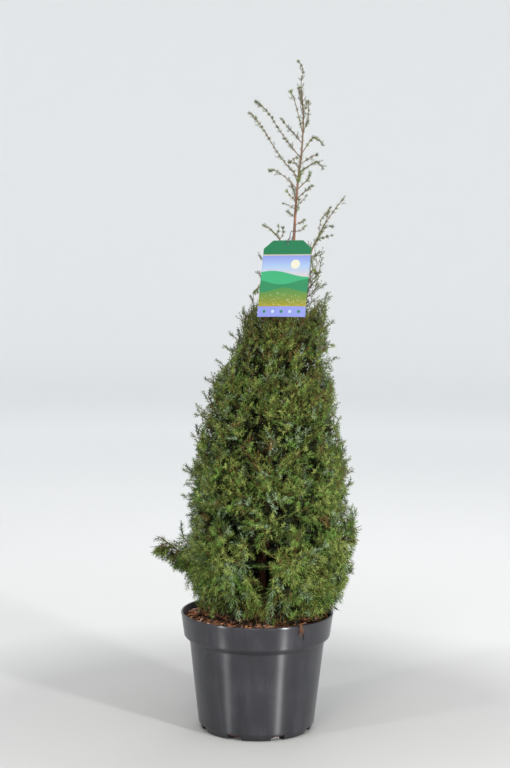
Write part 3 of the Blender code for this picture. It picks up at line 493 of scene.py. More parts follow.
def plan_boughs_and_masses():
    """Every bough as (name, points, radii), and every mass, in the source's order."""
    boughs, masses = [], []
    for name, count, first, leave, rise, bough_end, bend, stem_end, foot, tip, twigs in WHORLS:
        for index in range(count):
            azimuth = first + index * 360 / count
            start, way = leave_trunk(leave + rise * (index % 3), around(azimuth))
            points = bough_line(start, way, crown_point(azimuth, *bough_end))
            start, way = add_bough(boughs, f"bough_{name}_{index + 1}", points, foot, tip)
            far = FAR_REACH.get((name, index), stem_end)
            line = [start, start + way * 0.012, crown_point(azimuth, *bend), crown_point(azimuth, *far)]
            mass = Mass(f"foliage_{name}_{index + 1}", name, line, way, tip, twigs, 0.034, cored=True)
            if (name, index) in FAR_REACH:
                mass.twigs += FAR_REACH_TWIGS
                mass.far = True
            masses.append(mass)
    for name, count, first, leave, rise, bend, stem_end, twigs in TRUNK_WHORLS:
        for index in range(count):
            azimuth = first + index * 360 / count
            start, way = leave_trunk(leave + rise * (index % 3), around(azimuth))
            line = [start, crown_point(azimuth, *bend), crown_point(azimuth, *stem_end)]
            masses.append(Mass(f"foliage_{name}_{index + 1}", name, line, way, 0.0018, twigs, 0.026,
                               cored=name == "shoulder", open_angle=42.0))
    for name, leave, knots in LEADER_SHOOTS:
        start, way = leave_towards(leave, knots[0])
        twigs = 1 + int((Vector(knots[-1]) - start).length / 0.023)
        masses.append(leader_mass(f"shoot_{name}", [start, *knots], way, 0.0010, twigs, 0.020))
    start, way = leave_trunk(0.7900, around(-8))
    rise = start + way * 0.012 + Vector((0, 0, 0.010))
    points = curve_points([start, rise, *SIDE_LEADER_BOUGH], 7)
    start, way = add_bough(boughs, "bough_side_leader", points, 0.0026, 0.0017)
    masses.append(leader_mass("shoot_side_leader", [start, *SIDE_LEADER_TIP], way, 0.0017, 5, 0.024))
    start, way = leave_trunk(LEFT_STEM_HEIGHT, around(170))
    masses.append(leader_mass("shoot_left_stem", [start, *LEFT_STEM_TIP], way, 0.0014, 3, 0.022))
    top = Vector(TRUNK_LINE[-1])
    way = (top - Vector(TRUNK_LINE[-2])).normalized()
    masses.append(leader_mass("shoot_tip", [top + way * FIT_GAP, *PLANT_TIP], way, 0.0008, 3, 0.014, 34.0))
    for index, mass in enumerate(masses):
        mass.points = point_array(curve_points(mass.line, 6 if mass.in_crown else 5))
        mass.seed = SEED + index
    return boughs, masses


def distances(points, starts, ends):
    """Distance from each point to each segment, and where on it the nearest place lies."""
    along = ends - starts
    offset = points[:, None, :] - starts[None, :, :]
    t = np.clip((offset * along).sum(2) / np.maximum((along ** 2).sum(1), 1e-12), 0, 1)
    return np.linalg.norm(offset - along * t[:, :, None], axis=2), t

def in_box(points, reach):
    """Whether each point lies in the CAD box, grown by a reach."""
    points = np.asarray(points)
    return ((points > np.array(CAD_LOW) - reach) & (points < np.array(CAD_HIGH) + reach)).all(-1)


class Spaces:
    """Which mass a point of the crown belongs to, and what it must stay clear of, for many points at once."""

    def __init__(self, boughs, masses, card_frame, tie_points):
        self.stem_starts = np.concatenate([mass.points[:-1] for mass in masses])
        self.stem_ends = np.concatenate([mass.points[1:] for mass in masses])
        self.stem_owner = np.repeat(np.arange(len(masses)), [len(mass.points) - 1 for mass in masses])
        lines = [(np.array(TRUNK_LINE), np.array(TRUNK_RADII))]
        lines += [(point_array(points), np.array(radii)) for _, points, radii in boughs]
        loop = point_array([*tie_points, tie_points[0]])
        lines.append((loop, np.full(len(loop), TIE_RADIUS)))
        self.limb_starts = np.concatenate([line[:-1] for line, _ in lines])
        self.limb_ends = np.concatenate([line[1:] for line, _ in lines])
        self.limb_radii = np.concatenate([np.stack([radii[:-1], radii[1:]], 1) for _, radii in lines])
        self.to_card = np.array(card_frame.inverted())

    def depth(self, points):
        """How far below the crown's outline points lie."""
        points = np.asarray(points, dtype=float)
        off_axis = np.hypot(points[..., 0] - at_height(CROWN_AXIS, points[..., 2]), points[..., 1])
        return at_height(CROWN_OUTLINE, points[..., 2]) - off_axis

    def holds(self, index, mass, points, reach_out=0.0, shared=0.0, overhang=False, hem=HEM_HEIGHT):
        """Whether each point lies in the mass's own space, or in the strip that neighbours share."""
        points = np.asarray(points, dtype=float).reshape(-1, 3)
        from_pot = np.hypot(points[:, 0], points[:, 1])
        over_soil = from_pot < POT_RIM_RADIUS - RIM_GAPS[0]
        floor = np.where(over_soil, SOIL_SEAT_HEIGHT + 0.005, POT_HEIGHT + 0.004)
        if overhang:
            floor = np.where(from_pot > POT_RIM_RADIUS + RIM_GAPS[1], POT_HEIGHT - OVERHANG_DROP, floor)
            floor = np.where(over_soil, SOIL_SEAT_HEIGHT + hem, floor)
        held = points[:, 2] >= floor
        if overhang:
            held &= in_box(points, BOX_REACH)
        gaps, _ = distances(points, self.stem_starts, self.stem_ends)
        own = gaps[:, self.stem_owner == index].min(1)
        held &= own + 2 * SPACE_GAP - shared <= gaps[:, self.stem_owner != index].min(1)
        near = own <= mass.width + reach_out
        if mass.in_crown:
            near |= (points[:, 2] < CROWN_OUTLINE[-1][0]) & (self.depth(points) > -reach_out)
        held &= near
        gaps, t = distances(points, self.limb_starts, self.limb_ends)
        radii = self.limb_radii[:, 0] * (1 - t) + self.limb_radii[:, 1] * t
        held &= (gaps - radii).min(1) >= LIMB_GAP
        return held & ~self.before_card(points)

    def before_card(self, points):
        """Whether each point lies before the label card, in it or close behind it."""
        card = np.c_[points, np.ones(len(points))] @ self.to_card.T
        half_sizes = np.array([TAG_WIDTH, TAG_HEIGHT]) / 2 + CARD_MARGIN
        return (np.abs(card[:, :2]) < half_sizes).all(1) & (card[:, 2] > -CARD_BACK_GAP)

    def reach(self, index, mass, start, way, limit):
        """How far a twig can grow from its start before it leaves the space."""
        steps = np.arange(1, int(math.ceil(limit / MARCH_STEP)) + 1) * MARCH_STEP
        held = self.holds(index, mass, np.array(start) + np.array(way) * steps[:, None])
        return MARCH_STEP * (len(steps) if held.all() else int(np.argmin(held)))


def grow_twigs(index, mass, spaces, seed, count):
    """Twigs of a mass by the source's rule, as (base, way, length): they leave the stem by the golden angle."""
    rng = random.Random(seed)
    stem = [Vector(point) for point in mass.points]
    swing = CORED_SWING if mass.cored else OPEN_SWING
    twigs = []
    turn = rng.uniform(0, 2 * math.pi)
    for number in range(count + 1):
        last = number == count
        base, along = on_stem(stem, 1.0 if last else 0.12 + 0.86 * (number + 0.5) / count)
        turn += GOLDEN_ANGLE
        angle = mass.open_angle + rng.uniform(-swing, swing)
        way = (along if last else swung(along, turn, angle)).normalized()
        free = spaces.reach(index, mass, base, way, TWIG_REACH) * rng.uniform(0.92, 1.0)
        twigs.append((base, way, free))
        # The source draws a length and a roll for the blades on a twig. They aren't used here, but the draws
        # are made all the same, because the twigs that follow have to be the source's.
        rng.uniform(0.88, 1.12)
        if last or not mass.cored or spaces.depth(base + way * free) <= SHOWING_DEPTH:
            rng.uniform(-SPRAY_ROLL, SPRAY_ROLL)
    return twigs


class Sprigs(list):
    """Sprigs, each a slightly curved shoot with whorls of needles: base, way, length, lift, tint, mass, bare."""

    def add(self, base, way, length, lift, tint, mass, bare=0.0):
        """One more sprig. bare is the share of it, from its foot, that has no needles."""
        self.append((base, way, length, lift, tint, mass, bare))

    def arrays(self):
        """What the sprigs have, each kind as an array."""
        columns = list(zip(*self))
        return [point_array(column) for column in columns[:2]] + [np.array(column) for column in columns[2:]]


def pick_tint(rng, height):
    """Number of a tint, by the tints' shares. Near the pot olive takes the place of the deepest one: painted light
    on the low foliage.
    """
    place = rng.random()
    for number, (_, _, _, share) in enumerate(TINTS):
        place -= share
        if place < 0:
            return OLIVE_TINT if number == 0 and height < PAINTED_LIGHT_HEIGHT else number
    return OLIVE_TINT


def left_out(point):
    """Share of the sprigs that are left out at a point, so that the gaps in the crown's front stay open."""
    if point.y > FRONT_DEPTH:
        return 0.0
    for x, z, half_width, half_height, share in FRONT_GAPS:
        if ((point.x - x) / half_width) ** 2 + ((point.z - z) / half_height) ** 2 < 1:
            return share
    return 0.0


def twig_path(base, way, free, rise, share):
    """Nine points along a share of a twig that lifts towards its tip."""
    steps = np.linspace(0.0, 1.0, 9)[:, None] * share
    return np.array(base) + np.array(way) * free * steps + np.array(rise) * steps ** 2


def hanging(way, share, drop):
    """A way turned down: it falls by a share of its own slope and a drop."""
    return Vector((way.x, way.y, -share * abs(way.z) - drop)).normalized()


def sprigs_of_twig(base, way, free, index, mass, spaces, rng, sprigs, twig_paths):
    """Sprigs of one twig: they stand on its outer stretch by the golden angle, each with two side sprigs."""
    if free < SHORTEST_TWIG:
        return
    rise = Vector((0, 0, float(at_height(TWIG_LIFT, base.z)) * free))
    path = twig_path(base, way, free, rise, 1.0)
    held = spaces.holds(index, mass, path[1:], TUFT_REACH * 0.5, SHARED_SPACE)
    share = 1.0 if held.all() else max(0.25, int(np.argmin(held)) / 8)
    tint = pick_tint(rng, base.z)
    path = twig_path(base, way, free, rise, share)
    if any(left_out(Vector(point)) > WINDOW_SHARE for point in path[1:]):
        return
    twig_paths.append((index, path))
    length = free * share
    from_tip = 0.0
    turn = rng.uniform(0, 2 * math.pi)
    while from_tip < min(SPRIG_STRETCH, length * 0.85):
        t = share * (1 - from_tip / max(length, 1e-6))
        point = base + way * (free * t) + rise * t * t
        along = (way * free + rise * 2 * t).normalized()
        turn += GOLDEN_ANGLE
        angle = rng.uniform(*SPRIG_ANGLE)
        sprig_way = along if from_tip == 0.0 else swung(along, turn, angle)
        lift = float(at_height(SPRIG_LIFT, point.z))
        sprig_way = (sprig_way + Vector((0, 0, lift * 0.55))).normalized()
        sprig_length = float(at_height(SPRIG_LENGTH, point.z)) * rng.uniform(1 - SPRIG_SWING, 1 + SPRIG_SWING)
        sprig_tint = tint if rng.random() < TWIG_TINT_SHARE else pick_tint(rng, point.z)
        depth = spaces.depth(point)
        if mass.far and depth < OUTER_DEPTH:
            sprig_tint = rng.choice(EDGE_TINTS)
            sprig_length *= OUTER_SHARE
            sprig_way = hanging(sprig_way, 0.4, 0.18)
        from_tip += SPRIG_SPACING * rng.uniform(0.75, 1.25)
        hidden = mass.in_crown and depth > HIDDEN_DEPTH
        if (hidden and rng.random() < HIDDEN_SHARE) or rng.random() < float(at_height(OPEN_SHARE, point.z)):
            continue
        # Deep in the crown the needles take the near-black shaded tint: painted shade.
        if mass.in_crown and depth > SHADED_DEPTH:
            sprig_tint = PAINTED_SHADE_TINT
        stray = rng.random() < STRAY_SHARE
        tip = point + sprig_way * sprig_length + Vector((0, 0, lift * 0.25 * sprig_length))
        if rng.random() < max(left_out(point), left_out(tip), left_out(point.lerp(tip, 0.5))):
            continue
        limits = {"reach_out": float(at_height(SPRIG_REACH, point.z)) + stray * STRAY_REACH,
                  "shared": SHARED_SPACE, "overhang": True, "hem": LOW_HEM_HEIGHT if stray else HEM_HEIGHT}
        if not spaces.holds(index, mass, [point.lerp(tip, 0.6), tip], **limits).all():
            sprig_length *= 0.55
            if not spaces.holds(index, mass, [point + sprig_way * sprig_length], **limits).all():
                continue
        sprigs.add(point, sprig_way, sprig_length, lift * 0.25, sprig_tint, index, BARE_FOOT)
        if sprig_length < FORKING_LENGTH or hidden:
            continue
        across = square_to(sprig_way, rng.uniform(0, 2 * math.pi))
        for place, side in zip(SIDE_SPRIG_PLACES, (-across, across)):
            fork = math.radians(rng.uniform(*SIDE_SPRIG_ANGLE))
            side_way = (sprig_way * math.cos(fork) + side * math.sin(fork)).normalized()
            sprigs.add(point + sprig_way * (sprig_length * place), side_way,
                       sprig_length * SIDE_SPRIG_SHARE * rng.uniform(0.8, 1.15), lift * 0.3, sprig_tint, index,
                       BARE_FOOT)


def twig_tree(masses, twig_paths):
    """Search tree over the points of the crown's twigs, each with the number of its mass."""
    paths = [(index, path) for index, path in twig_paths if masses[index].in_crown]
    tree = kdtree.KDTree(sum(len(path) for _, path in paths))
    for index, path in paths:
        for point in path:
            tree.insert(point, index)
    tree.balance()
    return tree


def fill_surface(masses, spaces, sprigs, twigs, rng):
    """Sprigs towards each bare place of the crown's surface, from the twig nearest to it."""
    tips = kdtree.KDTree(len(sprigs))
    for number, (base, way, length, *_) in enumerate(sprigs):
        tips.insert(base + way * length, number)
    tips.balance()
    for height in np.arange(*SURFACE_HEIGHTS, SURFACE_STEP):
        outline = float(at_height(CROWN_OUTLINE, height))
        count = int(2 * math.pi * outline / SURFACE_STEP)
        for number in range(count):
            azimuth = (number + rng.uniform(-0.4, 0.4)) * 360 / count
            radius = outline - rng.uniform(-0.001, 0.014)
            target = crown_point(azimuth, radius, height + rng.uniform(-0.004, 0.004))
            if tips.find(target)[2] < BARE_DISTANCE or left_out(target):
                continue
            base, index, gap = twigs.find(target)
            if not FILL_REACH[0] < gap < FILL_REACH[1]:
                continue
            if spaces.holds(index, masses[index], [target], 0.008, 0.050, overhang=True).all():
                tint = pick_tint(rng, target.z)
                sprigs.add(base, (target - base).normalized(), gap, 0.0, tint, index, BARE_FOOT)


def arched(base, way, length, lift, place):
    """Point that a shoot passes at a share of its length, where it lifts more and more."""
    return base + way * length * place + Vector((0, 0, lift * place * place))


def edge_shoots(spaces, sprigs, twigs, rng):
    """Slim shoots that arch up and out past the crown's surface: those of the photographed edge and their like."""
    tips = [Vector((x, rng.uniform(-0.02, 0.01), z)) for x, z in EDGE_TIPS]
    for number in range(EDGE_COUNT):
        height = EDGE_FOOT + EDGE_SPAN * (number + rng.random()) / EDGE_COUNT
        radius = float(at_height(CROWN_OUTLINE, height)) + rng.uniform(*EDGE_PAST)
        tips.append(crown_point(math.degrees(number * GOLDEN_ANGLE), radius, height))
    for tip in tips:
        near = [(base, index) for base, index, gap in twigs.find_n(tip - Vector((0, 0, 0.012)), 12)
                if EDGE_REACH[0] < gap < EDGE_REACH[1] and base.z < tip.z]
        if not near or not in_box(tip, EDGE_BOX_REACH):
            continue
        base, index = near[0]
        step = tip - base
        lift = EDGE_LIFT * step.length
        way = (step - Vector((0, 0, lift))) / step.length
        line = (base, way, step.length, lift)
        tint = rng.choice(EDGE_TINTS)
        if spaces.before_card(point_array(arched(*line, place) for place in EDGE_CARD_TESTS)).any():
            continue
        sprigs.add(base, way, step.length, lift / step.length, tint, index, 0.10)
        for place in EDGE_SIDE_PLACES:
            side = square_to(way, rng.uniform(0, 2 * math.pi))
            side_way = (step.normalized() + side * 0.7).normalized()
            sprigs.add(arched(*line, place), side_way, rng.uniform(0.005, 0.009), 0.0, tint, index)


def fill_inside(boughs, masses, spaces, sprigs, rng):
    """Old sprigs round the boughs and the inner stems, their needles near black with painted shade, which keep the
    crown's middle dark.
    """
    lines = [(index, points) for index, (_, points, _) in enumerate(boughs[:-1])]
    lines += [(index, mass.points) for index, mass in enumerate(masses) if mass.in_crown]
    for index, points in lines:
        points = [Vector(point) for point in points]
        turn = rng.uniform(0, 2 * math.pi)
        for low, high in zip(points, points[1:]):
            along = (high - low).normalized()
            for step in np.arange(0, (high - low).length, INNER_STEP):
                turn += GOLDEN_ANGLE
                way = swung(along, turn, rng.uniform(*INNER_ANGLE)).normalized()
                base = low + along * step
                length = rng.uniform(*INNER_LENGTH)
                tip = base + way * length
                high_enough = SOIL_SEAT_HEIGHT + 0.012 < tip.z < INNER_TOP
                if spaces.depth(tip) > INNER_DEPTH and high_enough and not left_out(tip):
                    sprigs.add(base, way, length, 0.0, PAINTED_SHADE_TINT, index, BARE_FOOT)


def trunk_twigs():
    """Short needled twigs that stand on the leader's trunk and stems, as masses that take no space."""
    lines = []
    for height, knots in TRUNK_TWIGS:
        start, way = leave_towards(height, knots[0])
        lines.append(("trunk_twig", [start, *knots], way))
    lines += [("stem_twig", line, None) for line in STEM_TWIGS]
    return [leader_mass(*twig, 0.0007, seed=900 + number) for number, twig in enumerate(lines)]


def trunk_tufts(index, rng, sprigs):
    """Tufts on the leader's trunk itself, close together near its tip and where the photographed shoots fork."""
    turn = 0.0
    for height in np.arange(*TUFT_HEIGHTS, TUFT_STEP):
        crowded = any(low < height < high for low, high in CROWDED_STRETCHES)
        for _ in range(3 if crowded else 1):
            turn += GOLDEN_ANGLE
            angle = math.radians(rng.uniform(20, 44))
            way = Vector((math.sin(angle) * math.cos(turn), math.sin(angle) * math.sin(turn), math.cos(angle)))
            length = rng.uniform(0.008, 0.014) if crowded else rng.uniform(0.004, 0.007)
            sprigs.add(trunk_at(height), way, length, 0.0, rng.choice(LEADER_TINTS), index)


def plume_tufts(index, mass, spaces, rng, sprigs):
    """Tufts all round a far plume's stem where it stands outside the crown."""
    turn = 0.0
    stem = curve_points(mass.line, 60)
    for before, after in zip(stem, stem[1:]):
        if spaces.depth(before) > 0:
            continue
        for _ in range(2):
            turn += GOLDEN_ANGLE
            way = swung((after - before).normalized(), turn, rng.uniform(22, 48))
            sprigs.add(before, way, rng.uniform(*PLUME_TUFT_LENGTH), 0.0, rng.choice(EDGE_TINTS), index)


def leader_twigs(twigs, index, rng, sprigs):
    """The few short side twigs of a leader shoot, each a slim tuft of its own."""
    for base, way, free in twigs[:-1]:
        length = min(free, rng.uniform(0.008, 0.016))
        if length > 0.004:
            way = (way + Vector((0, 0, 0.15))).normalized()
            sprigs.add(base, way, length, -0.15, rng.choice(LEADER_TINTS), index, 0.30)


def shoot_sprigs(index, mass, rng, sprigs):
    """Short tufts that a shoot of the leader carries on its own stem, like beads, and its needled tip."""
    stem = curve_points(mass.line, 24)
    length = sum((after - before).length for before, after in zip(stem, stem[1:]))
    count = max(3, int(length / BEAD_SPACING))
    turn = rng.uniform(0, 2 * math.pi)
    for number in range(count):
        point, along = on_stem(stem, 0.10 + 0.86 * (number + rng.uniform(0.3, 0.7)) / count)
        for _ in range(rng.choice((1, 2, 2, 3))):
            turn += GOLDEN_ANGLE
            way = swung(along, turn, rng.uniform(24, 46)).normalized()
            sprigs.add(point, way, rng.uniform(0.0035, 0.0070), 0.0, rng.choice(LEADER_TINTS), index)
    base = stem[-3] if length > 0.03 else stem[-6]
    end = stem[-1] - base
    sprigs.add(base, end.normalized(), end.length, 0.0, rng.choice(LEADER_TINTS), index)


def normalised(vectors):
    """Vectors of length one."""
    return vectors / np.maximum(np.linalg.norm(vectors, axis=-1, keepdims=True), 1e-12)


def basis_round(ways):
    """Two unit vectors square to each way and to each other."""
    reference = np.where(np.abs(ways[..., 2:3]) < 0.9, np.array([0.0, 0.0, 1.0]), np.array([1.0, 0.0, 0.0]))
    side = normalised(np.cross(ways, reference))
    return side, np.cross(ways, side)


def needle_arrays(sprigs, rng):
    """Needles of the sprigs: corners (count, 4, 3) and the sprig of each. A needle is a keeled spike."""
    base, way, length, lift, tint, _, bare = sprigs
    shaded = (tint == PAINTED_SHADE_TINT).astype(float)
    spacing = WHORL_SPACING * (1 + (SHADED_SPACING - 1) * shaded)
    whorls = np.maximum(2, (length * (1 - bare) / spacing).astype(int))
    owner = np.repeat(np.arange(len(base)), whorls)
    first = np.repeat(np.cumsum(whorls) - whorls, whorls)
    number = np.arange(len(owner)) - first
    share = bare[owner] + (1 - bare[owner]) * (number + 0.6) / whorls[owner]
    owner, number, share = (np.repeat(values, 3) for values in (owner, number, share))
    arm = np.tile(np.arange(3), len(owner) // 3)
    up = np.array([0.0, 0.0, 1.0])
    distance = (length[owner] * share)[:, None]
    along = normalised(way[owner] + up * (2 * lift[owner] * share)[:, None])
    point = base[owner] + way[owner] * distance + up * (lift[owner] * length[owner] * share ** 2)[:, None]
    side, other = basis_round(along)
    phase = rng.uniform(0, 2 * np.pi, len(base))
    swing = rng.uniform(-NEEDLE_TURN_SWING, NEEDLE_TURN_SWING, len(owner))
    angle = phase[owner] + number * np.pi / 3 + arm * 2 * np.pi / 3 + swing
    out = side * np.cos(angle)[:, None] + other * np.sin(angle)[:, None]
    swing = rng.uniform(-NEEDLE_SPREAD_SWING, NEEDLE_SPREAD_SWING, len(owner))
    spread = np.radians(NEEDLE_SPREAD[0] + (NEEDLE_SPREAD[1] - NEEDLE_SPREAD[0]) * share ** 2 + swing)
    aim = normalised(along * np.cos(spread)[:, None] + out * np.sin(spread)[:, None])
    size = at_height(NEEDLE_LENGTH, point[:, 2]) * (1 - NEEDLE_TIP_LOSS * share ** 3)
    size = size * rng.uniform(*NEEDLE_LENGTH_SWING, len(owner)) * (1 + (SHADED_LENGTH - 1) * shaded[owner])
    face = normalised(along - aim * (along * aim).sum(1)[:, None])
    across = np.cross(aim, face)
    width = NEEDLE_WIDTH * rng.uniform(*NEEDLE_WIDTH_SWING, len(owner))
    width = (width * (1 + (SHADED_WIDTH - 1) * shaded[owner]))[:, None]
    root = point + out * TWIG_RADIUS * 0.6
    corners = np.stack([root - across * width / 2, root + across * width / 2, root - face * NEEDLE_KEEL,
                        root + aim * size[:, None]], 1)
    return corners, owner


def mesh_piece(name, corners, triangles, finishes, finish_of_face=None, smooth=False):
    """Object from an array of points and an array of triangles."""
    mesh = bpy.data.meshes.new(name)
    mesh.vertices.add(len(corners))
    mesh.vertices.foreach_set("co", np.asarray(corners, np.float32).ravel())
    mesh.loops.add(3 * len(triangles))
    mesh.loops.foreach_set("vertex_index", np.asarray(triangles, np.int32).ravel())
    mesh.polygons.add(len(triangles))
    mesh.polygons.foreach_set("loop_start", np.arange(0, 3 * len(triangles), 3, dtype=np.int32))
    mesh.polygons.foreach_set("use_smooth", np.full(len(triangles), smooth))
    for finish in finishes:
        mesh.materials.append(finish)
    if finish_of_face is not None:
        mesh.polygons.foreach_set("material_index", np.asarray(finish_of_face, np.int32))
    mesh.update(calc_edges=True)
    piece = bpy.data.objects.new(name, mesh)
    bpy.context.scene.collection.objects.link(piece)
    return piece


def tube_arrays(paths, radii, sides):
    """Tapering tubes along paths (count, points, 3): their points and triangles, closed at both ends."""
    count, points = paths.shape[:2]
    along = normalised(np.gradient(paths, axis=1))
    mean_way = normalised(paths[:, -1] - paths[:, 0])
    reference = basis_round(mean_way)[0][:, None, :]
    side = normalised(reference - along * (reference * along).sum(2, keepdims=True))
    other = np.cross(along, side)
    turns = np.arange(sides) * 2 * np.pi / sides
    ring = side[:, :, None, :] * np.cos(turns)[:, None] + other[:, :, None, :] * np.sin(turns)[:, None]
    corners = (paths[:, :, None, :] + ring * radii[:, :, None, None]).reshape(-1, 3)
    step, turn = np.meshgrid(np.arange(points - 1), np.arange(sides), indexing="ij")
    low = step * sides + turn
    low_after = step * sides + (turn + 1) % sides
    walls = np.concatenate([np.stack([low, low_after, low_after + sides], 2).reshape(-1, 3),
                            np.stack([low, low_after + sides, low + sides], 2).reshape(-1, 3)])
    fan = np.arange(1, sides - 1)
    foot = np.stack([np.zeros_like(fan), fan + 1, fan], 1)
    tip = np.stack([np.zeros_like(fan), fan, fan + 1], 1) + (points - 1) * sides
    faces = np.concatenate([walls, foot, tip])
    shift = (np.arange(count) * points * sides)[:, None, None]
    return corners, (faces[None] + shift).reshape(-1, 3)


def joined(parts):
    """Several (points, triangles) as one."""
    corners, triangles, shift = [], [], 0
    for points, faces in parts:
        corners.append(points)
        triangles.append(faces + shift)
        shift += len(points)
    return np.concatenate(corners), np.concatenate(triangles)


def linear(code, share=1.0):
    """Linear colour of an sRGB hex code, darkened to a share, with its alpha."""
    values = [int(code[place:place + 2], 16) / 255 for place in (1, 3, 5)]
    values = [value / 12.92 if value <= 0.04045 else ((value + 0.055) / 1.055) ** 2.4 for value in values]
    return (*(share * value for value in values), 1.0)


def add_node(tree, kind, inputs, feeds=None, stops=(), depth=1.0, **settings):
    """A node with its settings. An input, by name or number, takes a value or the socket that it is linked to.

    feeds is the socket that the first output goes to. A colour ramp's stops are (place, hex colour), darkened
    to a depth.
    """
    node = tree.nodes.new(f"ShaderNode{kind}")
    for name, value in settings.items():
        setattr(node, name, value)
    for key, value in inputs.items():
        if isinstance(value, bpy.types.NodeSocket):
            tree.links.new(value, node.inputs[key])
        else:
            node.inputs[key].default_value = value
    if stops:
        band = node.color_ramp.elements
        while len(band) < len(stops):
            band.new(0.5)
        for element, (place, colour) in zip(band, stops):
            element.position = place
            element.color = linear(colour, depth)
    if feeds:
        tree.links.new(node.outputs[0], feeds)
    return node


def new_material(name, colour, roughness, ior=1.45, specular=0.5, **sockets):
    """Material whose Principled shader has these values."""
    finish = bpy.data.materials.new(name)
    finish.use_nodes = True
    shader = finish.node_tree.nodes["Principled BSDF"].inputs
    values = {"Base Color": linear(colour), "Roughness": roughness, "IOR": ior, "Specular IOR Level": specular}
    values.update((key.replace("_", " "), value) for key, value in sockets.items())
    for key, value in values.items():
        shader[key].default_value = value
    return finish


def patterned(*values, **sockets):
    """A new material, its node tree, its shader's inputs and the Object coordinates for its patterns."""
    finish = new_material(*values, **sockets)
    tree = finish.node_tree
    return finish, tree, tree.nodes["Principled BSDF"].inputs, add_node(tree, "TexCoord", {}).outputs["Object"]


